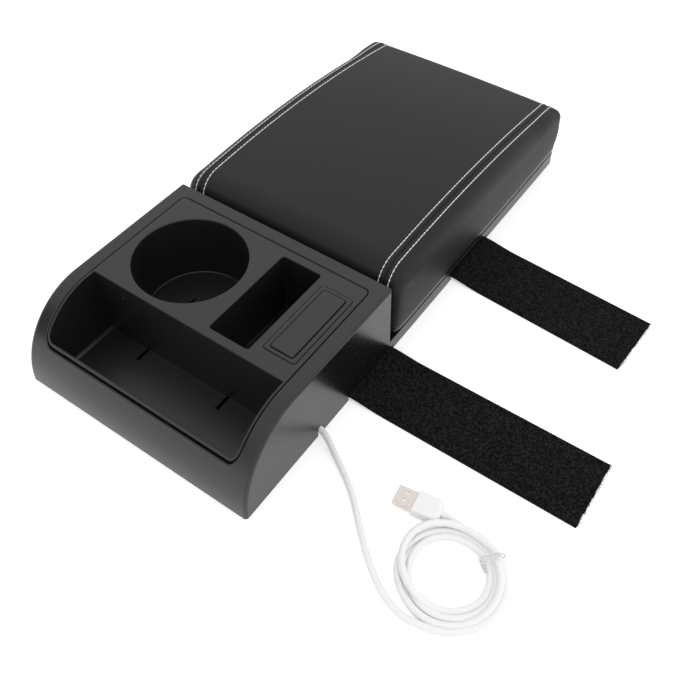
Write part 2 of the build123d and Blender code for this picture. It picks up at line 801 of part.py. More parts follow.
# Hub frame: bezel let into the deck, guide sleeve below it, floor with two spring pegs and a cable hole
with BuildPart() as hub_frame:
    with BuildSketch(Plane.XY.offset(hub_floor_z)):
        with Locations((hub_x, deck_y)):
            RectangleRounded(sleeve_width, sleeve_length, sleeve_corner)
    extrude(amount=bezel_top_z - hub_floor_z)
    with BuildSketch(Plane.XY.offset(console_height - bezel_thickness)):
        with Locations((hub_x, deck_y)):
            RectangleRounded(bezel_width, bezel_length, bezel_corner)
    extrude(amount=bezel_thickness + bezel_rise)
    with BuildSketch(Plane.XY.offset(hub_floor_top_z)):
        with Locations((hub_x, deck_y)):
            RectangleRounded(block_width + 2 * lift_gap, block_length + 2 * lift_gap, block_corner + lift_gap)
    extrude(amount=console_height, mode=Mode.SUBTRACT)
    fillet(hub_frame.faces().sort_by(Axis.Z)[-1].edges(), bezel_edge_radius)
    with BuildSketch(Plane.XY.offset(hub_floor_z)):
        with Locations((hub_x, deck_y - spring_offset), (hub_x, deck_y + spring_offset)):
            Circle(spring_peg_radius)
    extrude(amount=hub_floor_thickness + spring_peg_height)
    with BuildSketch(Plane.XY.offset(hub_floor_z)):
        with Locations((hub_x, hub_lead_y)):
            Circle(cable_radius + cable_hole_gap)
    extrude(amount=hub_floor_thickness, mode=Mode.SUBTRACT)
hub_frame.part.label = "hub_frame"
export_step(hub_frame.part, "parts/hub_frame.step")

# Lift block: hollow slider with three socket windows in its left face
window_width = socket_width + 2 * (socket_wall + socket_gap)
window_height = socket_height + 2 * (socket_wall + socket_gap)
block_left_x = hub_x - block_width / 2
with BuildPart() as lift_block:
    with BuildSketch(Plane.XY.offset(block_z)):
        with Locations((hub_x, deck_y)):
            RectangleRounded(block_width, block_length, block_corner)
    extrude(amount=block_height)
    fillet(lift_block.faces().sort_by(Axis.Z)[-1].edges(), block_edge_radius)
    with BuildSketch(Plane.XY.offset(block_z)):
        with Locations((hub_x, deck_y)):
            Rectangle(block_width - 2 * block_wall, block_length - 2 * block_wall)
    extrude(amount=block_height - block_top, mode=Mode.SUBTRACT)
    with BuildSketch(Plane.YZ.offset(block_left_x - 1)):
        with Locations(*[(y, port_z) for y in port_ys]):
            Rectangle(window_width, window_height)
    extrude(amount=block_wall + 1, mode=Mode.SUBTRACT)
lift_block.part.label = "lift_block"
export_step(lift_block.part, "parts/lift_block.step")

# Lift base: closes the block from below and centres the springs
with BuildPart() as lift_base:
    with BuildSketch(Plane.XY.offset(block_z)):
        with Locations((hub_x, deck_y)):
            Rectangle(
                block_width - 2 * (block_wall + lift_base_gap),
                block_length - 2 * (block_wall + lift_base_gap),
            )
    extrude(amount=lift_base_thickness)
    with BuildSketch(Plane.XY.offset(block_z - spring_peg_height)):
        with Locations((hub_x, deck_y - spring_offset), (hub_x, deck_y + spring_offset)):
            Circle(spring_peg_radius)
    extrude(amount=spring_peg_height)
lift_base.part.label = "lift_base"
export_step(lift_base.part, "parts/lift_base.step")

# USB sockets: three metal shells open to the left, each with its insulator and tongue
socket_x = block_left_x + socket_recess
with BuildPart() as usb_sockets:
    with BuildSketch(Plane.YZ.offset(socket_x)):
        for y in port_ys:
            with Locations((y, port_z)):
                Rectangle(socket_width + 2 * socket_wall, socket_height + 2 * socket_wall)
                Rectangle(socket_width, socket_height, mode=Mode.SUBTRACT)
    extrude(amount=socket_depth)
usb_sockets.part.label = "usb_sockets"
export_step(usb_sockets.part, "parts/usb_sockets.step")

with BuildPart() as usb_tongues:
    with BuildSketch(Plane.YZ.offset(socket_x + socket_depth - insulator_depth)):
        with Locations(*[(y, port_z) for y in port_ys]):
            Rectangle(socket_width - 2 * insulator_gap, socket_height - 2 * insulator_gap)
    extrude(amount=insulator_depth)
    with BuildSketch(Plane.YZ.offset(socket_x + socket_tongue_setback)):
        with Locations(*[(y, port_z + socket_tongue_rise) for y in port_ys]):
            Rectangle(socket_width - 2 * socket_tongue_side_gap, socket_tongue_height)
    extrude(amount=socket_depth - socket_tongue_setback)
usb_tongues.part.label = "usb_tongues"
export_step(usb_tongues.part, "parts/usb_tongues.step")

# Hub board behind the sockets
board_x = socket_x + socket_depth + board_gap
with BuildPart() as usb_board:
    with BuildSketch(Plane.YZ.offset(board_x)):
        with Locations((deck_y, port_z)):
            Rectangle(block_length - 2 * (block_wall + board_end_gap), board_height)
    extrude(amount=board_thickness)
usb_board.part.label = "usb_board"
export_step(usb_board.part, "parts/usb_board.step")

# Lift springs between the frame's floor and the lift base
spring_z = hub_floor_top_z + spring_seat_gap
spring_height = block_z - hub_floor_top_z - 2 * spring_seat_gap
with BuildPart() as lift_springs:
    for side in (-1, 1):
        coil_base = (hub_x, deck_y + side * spring_offset, spring_z + spring_wire)
        with BuildLine():
            helix = Helix(
                pitch=(spring_height - 2 * spring_wire) / spring_turns,
                height=spring_height - 2 * spring_wire,
                radius=spring_radius,
                center=coil_base,
            )
        with BuildSketch(Plane(origin=helix @ 0, z_dir=helix % 0)):
            Circle(spring_wire)
        sweep(path=helix)
lift_springs.part.label = "lift_springs"
export_step(lift_springs.part, "parts/lift_springs.step")

# Cable clamp on the base plate, inside the notch
clamp_height = clamp_z + cable_radius + clamp_cap
with BuildPart() as cable_clamp:
    with BuildSketch(Plane.XY.offset(plate_thickness)):
        with Locations((clamp_x, clamp_y)):
            Rectangle(clamp_length, clamp_width)
    extrude(amount=clamp_height - plate_thickness)
    with BuildSketch(Plane.YZ.offset(clamp_x - clamp_length)):
        with Locations((clamp_y, clamp_z)):
            Circle(cable_radius + cable_hole_gap)
    extrude(amount=2 * clamp_length, mode=Mode.SUBTRACT)
cable_clamp.part.label = "cable_clamp"
export_step(cable_clamp.part, "parts/cable_clamp.step")

# Hub lead: from the frame's floor down and across to the clamp
with BuildPart() as hub_lead:
    with BuildLine() as hub_route:
        FilletPolyline(
            (hub_x, hub_lead_y, hub_floor_top_z - cable_hole_gap),
            (hub_x, hub_lead_y, clamp_z),
            (hub_x, clamp_y, clamp_z),
            (clamp_x + clamp_length / 2, clamp_y, clamp_z),
            radius=[hub_lead_drop_radius, hub_lead_turn_radius],
        )
    with BuildSketch(Plane(origin=hub_route.line @ 0, z_dir=hub_route.line % 0)):
        Circle(cable_radius)
    sweep(path=hub_route.line)
hub_lead.part.label = "hub_lead"
export_step(hub_lead.part, "parts/hub_lead.step")

# USB lead: the free cable from the notch along the floor to the coil
lead_radii = []
for before, corner, after in zip(lead_points, lead_points[1:], lead_points[2:]):
    run_in = Vector(*corner) - Vector(*before)
    run_out = Vector(*after) - Vector(*corner)
    half_turn = math.radians(run_in.get_angle(run_out)) / 2
    lead_radii.append(0.45 * min(run_in.length, run_out.length) / math.tan(half_turn))
print("lead corner radii", [round(radius, 1) for radius in lead_radii])
with BuildPart() as usb_lead:
    with BuildLine() as lead_route:
        FilletPolyline(*lead_points, radius=lead_radii)
    with BuildSketch(Plane(origin=lead_route.line @ 0, z_dir=lead_route.line % 0)):
        Circle(cable_radius)
    sweep(path=lead_route.line)
lead_length = lead_route.wires()[0].length
print("lead length", round(lead_length, 2), "volume", round(usb_lead.part.volume, 1))
print("section times length", round(math.pi * cable_radius**2 * lead_length, 1))
usb_lead.part.label = "usb_lead"
export_step(usb_lead.part, "parts/usb_lead.step")

# Cable coil: the rest of the cable, laid up in a flat ring
with BuildPart() as cable_coil:
    with BuildSketch(Plane.XZ.offset(-coil_y)):
        with Locations((coil_x + (coil_outer_radius + coil_inner_radius) / 2, coil_z)):
            RectangleRounded(coil_outer_radius - coil_inner_radius, coil_height, cable_radius)
    revolve(axis=Axis((coil_x, coil_y, 0), (0, 0, 1)))
cable_coil.part.label = "cable_coil"
export_step(cable_coil.part, "parts/cable_coil.step")

# Tie round the coil
tie_turn = math.radians(tie_angle)
tie_ray = (math.cos(tie_turn), math.sin(tie_turn), 0)
tie_plane = Plane(
    origin=(
        coil_x + tie_ray[0] * (coil_outer_radius + coil_inner_radius) / 2,
        coil_y + tie_ray[1] * (coil_outer_radius + coil_inner_radius) / 2,
        coil_z,
    ),
    x_dir=tie_ray,
    z_dir=(math.sin(tie_turn), -math.cos(tie_turn), 0),
)
tie_span = coil_outer_radius - coil_inner_radius + 2 * tie_gap
tie_rise = coil_height + 2 * tie_gap
with BuildPart() as cable_tie:
    with BuildSketch(tie_plane):
        RectangleRounded(
            tie_span + 2 * tie_thickness, tie_rise + 2 * tie_thickness, cable_radius + tie_thickness
        )
        RectangleRounded(tie_span, tie_rise, cable_radius, mode=Mode.SUBTRACT)
    extrude(amount=tie_width / 2, both=True)
cable_tie.part.label = "cable_tie"
export_step(cable_tie.part, "parts/cable_tie.step")

# USB plug: moulded grip with a neck, metal shell with two latch holes, tongue inside
plug_angle = math.radians(plug_turn)
plug_axis = (math.cos(plug_angle), math.sin(plug_angle), 0)
plug_side = (-math.sin(plug_angle), math.cos(plug_angle), 0)


def plug_section(distance):
    """Plane across the plug at a distance from its tip: X across, Y up."""
    origin = (plug_x + distance * plug_axis[0], plug_y + distance * plug_axis[1], plug_z)
    return Plane(origin=origin, x_dir=plug_side, z_dir=plug_axis)


with BuildPart() as plug_overmould:
    with BuildSketch(plug_section(plug_reach)):
        RectangleRounded(grip_width, grip_height, grip_corner)
    extrude(amount=grip_length - grip_taper_length)
    grip_front = plug_overmould.faces().sort_by(Axis(plug_section(0).origin, plug_axis))[0]
    fillet(grip_front.edges(), grip_edge_radius)
    with BuildSketch(plug_section(plug_reach + grip_length - grip_taper_length)):
        RectangleRounded(grip_width, grip_height, grip_corner)
    with BuildSketch(plug_section(plug_reach + grip_length)):
        RectangleRounded(grip_width - grip_taper_width, grip_height - grip_taper_height, grip_corner)
    loft()
    with BuildSketch(plug_section(plug_reach + grip_length)):
        Circle(cable_radius + neck_wall)
    extrude(amount=neck_length)
plug_overmould.part.label = "plug_overmould"
export_step(plug_overmould.part, "parts/plug_overmould.step")

with BuildPart() as plug_shell:
    with BuildSketch(plug_section(0)):
        RectangleRounded(plug_width, plug_height, plug_corner)
        Rectangle(plug_width - 2 * plug_skin, plug_height - 2 * plug_skin, mode=Mode.SUBTRACT)
    extrude(amount=plug_reach)
    latch_centre = plug_section(plug_reach - latch_setback).origin
    with BuildSketch(Plane(origin=(latch_centre.X, latch_centre.Y, 0), x_dir=plug_axis, z_dir=(0, 0, 1))):
        with GridLocations(1, latch_spacing, 1, 2):
            Rectangle(latch_hole, latch_hole)
    extrude(amount=plug_z + plug_height, mode=Mode.SUBTRACT)
plug_shell.part.label = "plug_shell"
export_step(plug_shell.part, "parts/plug_shell.step")

with BuildPart() as plug_tongue:
    with BuildSketch(plug_section(plug_tongue_setback)):
        with Locations((0, (plug_height - plug_tongue_height) / 2 - plug_skin - plug_tongue_gap)):
            Rectangle(plug_width - 2 * (plug_skin + plug_tongue_gap), plug_tongue_height)
    extrude(amount=plug_reach - plug_tongue_setback)
plug_tongue.part.label = "plug_tongue"
export_step(plug_tongue.part, "parts/plug_tongue.step")

# Lid pan: hard tray with a rim under the leather and hinge knuckles at the rear
lid_knuckle_offset = base_knuckle_width / 2 + knuckle_gap + lid_knuckle_width / 2
knuckle_room_half = lid_knuckle_offset + lid_knuckle_width / 2 + knuckle_room
with BuildPart() as lid_pan:
    with BuildSketch(Plane.XY.offset(rim_z)):
        with Locations((0, (pan_front_y + pan_rear_y) / 2)):
            RectangleRounded(2 * half_pan, pan_rear_y - pan_front_y, pan_corner)
    extrude(amount=pan_top_z - rim_z)
    fillet(lid_pan.faces().sort_by(Axis.Z)[-1].edges(), pan_top_radius)
    with BuildSketch(Plane.XY.offset(rim_z)):
        with Locations((0, (lid_front_y + rear_y) / 2)):
            RectangleRounded(
                2 * (half_lid - rim_margin), lid_length - 2 * rim_margin, lid_side_roll - rim_margin
            )
    extrude(amount=rim_thickness)
    with BuildSketch(Plane.XY.offset(rim_z)):
        with Locations((0, (pan_front_y + pan_rear_y) / 2)):
            RectangleRounded(
                2 * (half_pan - pan_wall), pan_rear_y - pan_front_y - 2 * pan_wall, pan_corner - pan_wall
            )
    extrude(amount=pan_ceiling_z - rim_z, mode=Mode.SUBTRACT)
    for side in (-1, 1):
        with BuildSketch(Plane.XY.offset(rim_z)):
            with Locations((side * hinge_x, rear_y)):
                Rectangle(base_knuckle_width + 2 * knuckle_gap, 2 * (2 * knuckle_radius + knuckle_gap))
        extrude(amount=rim_thickness, mode=Mode.SUBTRACT)
        for step in (-1, 1):
            knuckle_x = side * hinge_x + step * lid_knuckle_offset
            arm_y = (pan_rear_y - pan_wall / 2 + hinge_y) / 2
            arm_z = (rim_z + hinge_z + knuckle_radius) / 2
            with BuildSketch(Plane.YZ.offset(knuckle_x - lid_knuckle_width / 2)):
                with Locations((hinge_y, hinge_z)):
                    Circle(knuckle_radius)
                with Locations((arm_y, arm_z)):
                    Rectangle(hinge_y - pan_rear_y + pan_wall / 2, hinge_z + knuckle_radius - rim_z)
            extrude(amount=lid_knuckle_width)
        with BuildSketch(Plane.YZ.offset(side * hinge_x - knuckle_room_half)):
            with Locations((hinge_y, hinge_z)):
                Circle(hinge_pin_radius + pin_running)
        extrude(amount=2 * knuckle_room_half, mode=Mode.SUBTRACT)
lid_pan.part.label = "lid_pan"
export_step(lid_pan.part, "parts/lid_pan.step")

# Hinge pins, pressed into the housing's knuckles
pin_length = base_knuckle_width + 2 * (knuckle_gap + lid_knuckle_width - pin_end_gap)
with BuildPart() as hinge_pins:
    for side in (-1, 1):
        with BuildSketch(Plane.YZ.offset(side * hinge_x - pin_length / 2)):
            with Locations((hinge_y, hinge_z)):
                Circle(hinge_pin_radius)
        extrude(amount=pin_length)
hinge_pins.part.label = "hinge_pins"
export_step(hinge_pins.part, "parts/hinge_pins.step")

# Lid bumpers: four rubber strips on the tub's coaming
bumper_ys = [coaming_front_y + bumper_from_end, coaming_rear_y - bumper_from_end]
with BuildPart() as lid_bumpers:
    with BuildSketch(Plane.XY.offset(coaming_top_z)):
        for side in (-1, 1):
            with Locations(*[(side * (half_coaming - coaming_wall / 2), y) for y in bumper_ys]):
                Rectangle(coaming_wall - 2 * bumper_side_gap, bumper_length)
    extrude(amount=bumper_height)
lid_bumpers.part.label = "lid_bumpers"
export_step(lid_bumpers.part, "parts/lid_bumpers.step")

# Room for the hinge knuckles in the foam and leather
with BuildPart() as knuckle_hollow:
    for side in (-1, 1):
        with BuildSketch(Plane.XY.offset(rim_z)):
            with Locations((side * hinge_x, rear_y)):
                Rectangle(2 * knuckle_room_half, 2 * (pan_inset + knuckle_room))
        extrude(amount=hinge_z + knuckle_radius + knuckle_room_top - rim_z)

# Lid foam between pan and leather
with BuildPart() as lid_foam:
    add(lid_form(leather + glue_gap))
    with BuildSketch(Plane.XY.offset(rim_z)):
        with Locations((0, (pan_front_y + pan_rear_y) / 2)):
            RectangleRounded(
                2 * (half_pan + glue_gap), pan_rear_y - pan_front_y + 2 * glue_gap, pan_corner + glue_gap
            )
    extrude(amount=pan_top_z + glue_gap - rim_z, mode=Mode.SUBTRACT)
    add(knuckle_hollow.part, mode=Mode.SUBTRACT)
lid_foam.part.label = "lid_foam"
export_step(lid_foam.part, "parts/lid_foam.step")

# Leather cover: a shell over the foam, sewn from a centre panel and two side panels
with BuildPart() as cover_shell:
    add(lid_form(0))
    add(lid_form(leather), mode=Mode.SUBTRACT)
    add(knuckle_hollow.part, mode=Mode.SUBTRACT)

with BuildPart() as cover_centre:
    add(cover_shell.part)
    split(bisect_by=Plane.YZ.offset(seam_x - seam_gap / 2), keep=Keep.BOTTOM)
    split(bisect_by=Plane.YZ.offset(seam_gap / 2 - seam_x), keep=Keep.TOP)
cover_centre.part.label = "cover_centre"
export_step(cover_centre.part, "parts/cover_centre.step")

with BuildPart() as cover_left:
    add(cover_shell.part)
    split(bisect_by=Plane.YZ.offset(-seam_gap / 2 - seam_x), keep=Keep.BOTTOM)
cover_left.part.label = "cover_left"
export_step(cover_left.part, "parts/cover_left.step")

with BuildPart() as cover_right:
    add(cover_shell.part)
    split(bisect_by=Plane.YZ.offset(seam_x + seam_gap / 2), keep=Keep.TOP)
cover_right.part.label = "cover_right"
export_step(cover_right.part, "parts/cover_right.step")
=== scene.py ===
import math
import random

import bmesh
import bpy
from mathutils import Matrix, Vector, noise


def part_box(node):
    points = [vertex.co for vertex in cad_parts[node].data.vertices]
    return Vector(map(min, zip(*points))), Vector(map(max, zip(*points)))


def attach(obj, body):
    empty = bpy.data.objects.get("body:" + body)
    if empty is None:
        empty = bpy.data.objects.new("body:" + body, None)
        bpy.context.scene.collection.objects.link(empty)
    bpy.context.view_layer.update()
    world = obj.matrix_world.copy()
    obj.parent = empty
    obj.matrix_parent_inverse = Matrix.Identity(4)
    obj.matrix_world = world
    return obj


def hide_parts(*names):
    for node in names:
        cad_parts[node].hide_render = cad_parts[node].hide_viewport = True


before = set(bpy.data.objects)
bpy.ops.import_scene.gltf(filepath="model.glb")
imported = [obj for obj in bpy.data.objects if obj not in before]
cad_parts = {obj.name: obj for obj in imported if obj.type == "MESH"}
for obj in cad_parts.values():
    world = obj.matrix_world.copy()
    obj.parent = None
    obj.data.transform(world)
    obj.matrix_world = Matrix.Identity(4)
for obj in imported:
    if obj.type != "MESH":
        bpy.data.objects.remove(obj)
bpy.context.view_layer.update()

# Car centre armrest dressed over its CAD frame. Metres, Z up.
# The nose faces -Y, and the straps and the cable leave on +X.
chance = random.Random(11)

# Lid cover, from its CAD panels
FRONT_INSET = 0.0018
SIDE_OVERHANG = 0.0010
cover_low, cover_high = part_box("cover_centre")
LID_FRONT, LID_REAR = cover_low.y + FRONT_INSET, cover_high.y
LID_TOP = cover_high.z
LID_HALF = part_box("cover_right")[1].x + SIDE_OVERHANG
# Top: its crest's distance behind the front edge, its curve from front to rear, its fall towards the sides
CREST_BACK = 0.0704
TOP_RADIUS = 1.0
CROWN = 0.0011
# Rolls over into the walls
FRONT_ROLL = 0.0165
REAR_ROLL = 0.011
SIDE_ROLL = 0.016
HALF_FLAT = LID_HALF - SIDE_ROLL
# Side roll at the rear, and how far before the rear edge it starts to tighten to that
REAR_SIDE_ROLL = 0.0105
ROLL_TIGHTENING = 0.045
# Mesh rows over the front roll, the top and the rear roll
FRONT_ROLL_STEPS, TOP_STEPS, REAR_ROLL_STEPS = 14, 84, 12
# How far the upright corners fill out from a round towards a square
CORNER_POWER = 3.0
# Hem: the leather is folded in under the foam on the lid's rim, and is cut up round the hinges
HEM = 0.0129
HEM_FOLD = 0.0009
HEM_FOLD_TURNS = (0.4, 0.8, 1.2, 1.57)
HEM_TURNED_IN = 0.005
# Bead above it, with the shares of the wall over which it dies away, and the heights where its shine ends
HEM_BEAD = 0.0004
HEM_BEAD_ENDS = (0.06, 0.12)
HEM_SHINE_ENDS = (0.0172, 0.0180)
# Padding of the walls, and how far the front wall leans back towards its foot
PUFF = 0.0009
REAR_PUFF = 0.0033
FRONT_LEAN = 0.0018
FRONT_LEAN_ENDS = (0.0, 0.5)
# Rows of the walls' mesh, as shares of the height from the hem up to the roll
WALL_SHARES = (0.0, 0.025, 0.05, 0.075, 0.105, 0.14, 0.19, 0.26, 0.36, 0.48, 0.60, 0.72, 0.84, 0.93)
# Notches in the rear hem, round the hinge knuckles
HINGE_X = 0.048
HINGE_NOTCH = 0.017
HINGE_NOTCH_RISE = 0.0060
HINGE_NOTCH_SLOPE = (-0.002, 0.001)

# Seam and stitch rows, as distances across the cover from its middle line
SEAM = 0.0752
INNER_ROW = 0.0718
OUTER_ROW = 0.0785
# Relief there: how high or deep, how wide, and for the welts how far off the seam
WELT, WELT_WIDTH, WELT_OFF_SEAM = 0.00035, 0.0013, 0.0019
SEAM_GROOVE, SEAM_GROOVE_WIDTH = 0.00095, 0.00055
ROW_GROOVE, ROW_GROOVE_WIDTH = 0.00030, 0.0007
SIDE_BULGE, SIDE_BULGE_RUN = 0.0008, 0.007
# Columns of the cover's mesh: close together over the seam, wider on the top panel and round the side
SEAM_START, SEAM_END = 0.0699, 0.0811
SEAM_STEP = 0.0004
PANEL_STEP = 0.006
SIDE_STEPS = 8
# Stitches, and the rows up each wall of the line that they follow
STITCH_PITCH = 0.0034
STITCH_LENGTH = 0.0032
STITCH_WANDER = 0.00008
THREAD_RADIUS = 0.00035
THREAD_SIDES = 6
STITCH_WALL_STEPS = 24
# One stitch: share of its length, height over the leather, share of the thread's radius
STITCH_FORM = (
    (0.00, -0.0003, 0.6),
    (0.12, 0.0001, 0.9),
    (0.35, 0.0003, 1.0),
    (0.65, 0.0003, 1.0),
    (0.88, 0.0001, 0.9),
    (1.00, -0.0003, 0.6),
)

# Straps: tucked in under the housing, then down to the floor
SIDE_X = 0.088
STRAP_WIDTH = 0.050
STRAP_THICKNESS = 0.0020
STRAP_TUCK = 0.062
STRAP_IN_Z = 0.00185
STRAP_FLOOR_Z = 0.00025
STRAP_DROP = (0.001, 0.024)
# Where along the housing's side each strap leaves it, its reach from there, its lean in degrees
STRAPS = {
    "front_strap": (-0.0695, 0.1555, 0.0),
    "rear_strap": (0.0596, 0.1318, -3.73),
}
STRAP_GRID = 0.0007
# Pile of the loops: its middle below the strap's top, then depth and waves per metre of its two layers
PILE_ROOM = 0.0004
PILE_COARSE, COARSE_WAVES = 0.00032, 620
PILE_FINE, FINE_WAVES = 0.00020, 1500
# Distances in from the edge between which the pile grows to its full depth
PILE_GROWS = (0.0005, 0.003)
# Selvedge: a low ridge inside each edge, which is rounded off
SELVEDGE, SELVEDGE_WIDTH, SELVEDGE_IN = 0.00025, 0.0011, 0.0015
EDGE_ROUND, EDGE_ROUND_WIDTH = 0.0009, 0.0006
# Cut end: how ragged it is, in metres and waves per metre
RAGGED, RAGGED_WAVES = 0.0006, 400
# Loose fibres there: lean and climb per length, lift over the underside, root's distance in from the end
FRAY_FIBRES = 90
FRAY_SPREAD = 0.49
FRAY_LENGTH = (0.0012, 0.0030)
FRAY_LEAN = (-0.5, 0.5)
FRAY_CLIMB = (-0.15, 0.25)
FRAY_LIFT = (0.0005, 0.0014)
FRAY_ROOT = 0.0012
FRAY_SHARES = (0.0, 0.35, 0.7, 1.0)
FRAY_RADII = (0.00013, 0.00012, 0.00010, 0.00006)
FRAY_SIDES = 4

# Cable: the route of the CAD lead, then the turns of the coil
CABLE_RADIUS = 0.0021
LEAD_ROUTE = [
    (0.0804, -0.1245, 0.00475),
    (0.0885, -0.1254, 0.00475),
    (0.0965, -0.1292, 0.00390),
    (0.1055, -0.1349, 0.00250),
    (0.1183, -0.1429, 0.00215),
    (0.1302, -0.1519, 0.00215),
    (0.1429, -0.1648, 0.00215),
    (0.1566, -0.1776, 0.00215),
    (0.1695, -0.1873, 0.00215),
    (0.1809, -0.1930, 0.00215),
    (0.1924, -0.1950, 0.00215),
    (0.2033, -0.1927, 0.00220),
]
COIL_CENTRE = Vector((0.1976, -0.1602, 0.0))
COIL_PLUG_ANGLE = 121.7
COIL_POINTS_PER_TURN = 18
COIL_SCALE = 1.012
# Turns back from the plug, radius of the strand, height of its middle
COIL_TURNS = [
    (0.050, 0.0282, 0.00260),
    (0.080, 0.0273, 0.00215),
    (0.111, 0.0268, 0.00215),
    (0.160, 0.0266, 0.00240),
    (0.195, 0.0276, 0.00400),
    (0.230, 0.0281, 0.00570),
    (0.300, 0.0289, 0.00570),
    (0.380, 0.0296, 0.00430),
    (0.450, 0.0296, 0.00240),
    (0.500, 0.0294, 0.00215),
    (0.568, 0.0290, 0.00215),
    (0.618, 0.0282, 0.00215),
    (0.667, 0.0275, 0.00215),
    (0.720, 0.0274, 0.00215),
    (0.780, 0.0276, 0.00215),
    (0.850, 0.0262, 0.00215),
    (0.907, 0.0252, 0.00215),
    (1.000, 0.0251, 0.00215),
    (1.130, 0.0251, 0.00215),
    (1.250, 0.0267, 0.00215),
    (1.320, 0.0269, 0.00215),
    (1.400, 0.0264, 0.00215),
    (1.480, 0.0254, 0.00215),
    (1.544, 0.0249, 0.00215),
    (1.600, 0.0239, 0.00215),
    (1.658, 0.0228, 0.00215),
    (1.740, 0.0214, 0.00215),
    (1.824, 0.0209, 0.00215),
    (1.911, 0.0211, 0.00215),
    (2.006, 0.0214, 0.00215),
    (2.082, 0.0215, 0.00215),
    (2.198, 0.0229, 0.00215),
    (2.300, 0.0232, 0.00215),
    (2.364, 0.0229, 0.00215),
    (2.428, 0.0219, 0.00215),
    (2.483, 0.0214, 0.00215),
    (2.560, 0.0214, 0.00240),
    (2.610, 0.0219, 0.00380),
    (2.660, 0.0227, 0.00600),
    (2.716, 0.0240, 0.00640),
    (2.776, 0.0258, 0.00640),
    (2.820, 0.0272, 0.00650),
    (2.874, 0.0282, 0.00680),
    (2.929, 0.0286, 0.00720),
    (2.970, 0.0280, 0.00720),
    (3.020, 0.0272, 0.00630),
    (3.060, 0.0268, 0.00600),
    (3.120, 0.0269, 0.00600),
    (3.165, 0.0275, 0.00630),
    (3.195, 0.0298, 0.00590),
    (3.225, 0.0306, 0.00390),
    (3.260, 0.0309, 0.00230),
    (3.300, 0.0316, 0.00215),
    (3.353, 0.0324, 0.00215),
    (3.400, 0.0328, 0.00215),
    (3.470, 0.0328, 0.00215),
    (3.520, 0.0328, 0.00215),
]
# Last points, on the plug's axis inside its neck
PLUG_RUN = [(0.18420, -0.13185, 0.00400), (0.18220, -0.13210, 0.00420), (0.17820, -0.13266, 0.00420)]
# Tie: its bearing from the coil's middle, and the middle and half sizes of the bundle it is drawn round
TIE_ANGLE = 51.0
TIE_RADIUS = 0.0262
TIE_HEIGHT = 0.0045
TIE_HALF = (0.0074, 0.0040)
TIE_WIRE = 0.00048
TIE_SQUARENESS = 0.7
TIE_SIDES = 6
# Shift and skew along the cable of its two turns
TIE_TURNS = ((-0.0006, 0.0009), (0.0007, -0.0006))
TIE_TURN_STEPS = 32
# Its twisted ends: length, distance in from the turns, half turns of twist and their radius
TIE_END = 0.0065
TIE_END_IN = 0.0004
TIE_END_HALF_TURNS = 5
TIE_END_STEPS = 24
TIE_END_TWIST = TIE_WIRE * 1.2

# Studio: level of the white surround, of its dim side and of the floor's own light
SURROUND = 1.06
DIM_SURROUND = 0.40
FLOOR_LIGHT = 0.40
# Way to the dim side, and the cosines off it where the dimming starts and is full
DIM_SIDE = (-0.71, -0.65, 0.27)
DIM_FROM, DIM_FULL = 0.88, 0.99
# Softboxes: name, place, what each points at, size, watts
SOFTBOXES = (
    ("side_softbox", (1.5, -0.1, 0.7), (0.1, 0.0, 0.0), 0.9, 0.5),
    ("top_softbox", (-0.2, 0.9, 1.6), (0.0, 0.0, 0.0), 0.9, 0.5),
)


def linear(code):
    """sRGB hex colour as linear RGBA."""
    channels = [int(code[start:start + 2], 16) / 255 for start in (1, 3, 5)]
    return [
        level / 12.92 if level <= 0.04045 else ((level + 0.055) / 1.055) ** 2.4 for level in channels
    ] + [1.0]


def add_node(tree, kind, sockets=None, **settings):
    """Adds a shader node, sets its properties, and fills its sockets with values or links."""
    made = tree.nodes.new("ShaderNode" + kind)
    for name, value in settings.items():
        setattr(made, name, value)
    for name, value in (sockets or {}).items():
        if isinstance(value, bpy.types.NodeSocket):
            tree.links.new(value, made.inputs[name])
        else:
            made.inputs[name].default_value = value
    return made


def new_material(name, **values):
    """Material with one Principled shader whose constant sockets are set directly."""
    material = bpy.data.materials.new(name)
    material.use_nodes = True
    tree = material.node_tree
    shader = tree.nodes["Principled BSDF"]
    for socket, value in values.items():
        shader.inputs[socket.replace("_", " ")].default_value = value
    return material, tree, shader


def vary_finish(tree, shader, pattern, colours, shine=None):
    """Lets a pattern move the colour between two sRGB hex values and, where given, the roughness too."""
    tint = add_node(
        tree, "Mix", {"Factor": pattern, "A": linear(colours[0]), "B": linear(colours[1])},
        data_type="RGBA",
    )
    tree.links.new(tint.outputs["Result"], shader.inputs["Base Color"])
    if shine:
        roughness = add_node(tree, "MapRange", {"Value": pattern, "To Min": shine[0], "To Max": shine[1]})
        tree.links.new(roughness.outputs["Result"], shader.inputs["Roughness"])


def moulded_abs(name, colours, roughness, grain_mm, grain_depth_mm):
    """Injection-moulded ABS: the tool's fine spark-eroded skin scatters a soft, even sheen."""
    material, tree, shader = new_material(name, IOR=1.53)
    place = add_node(tree, "TexCoord").outputs["Object"]
    # The real grain is about 0.1 mm, too fine to show, so it is drawn coarser
    grain = add_node(tree, "TexNoise", {"Vector": place, "Scale": 1000 / grain_mm, "Detail": 2.0})
    flow = add_node(tree, "TexNoise", {"Vector": place, "Scale": 1000 / 45, "Detail": 3.0})
    # No moulded edge is dead sharp, so each one carries a thin line of light
    edges = add_node(tree, "Bevel", {"Radius": 0.0007}, samples=4)
    bump = add_node(
        tree, "Bump",
        {"Height": grain.outputs["Fac"], "Strength": 0.5, "Distance": grain_depth_mm / 1000,
         "Normal": edges.outputs["Normal"]},
    )
    tree.links.new(bump.outputs["Normal"], shader.inputs["Normal"])
    vary_finish(tree, shader, flow.outputs["Fac"], colours, (roughness - 0.04, roughness + 0.04))
    return material


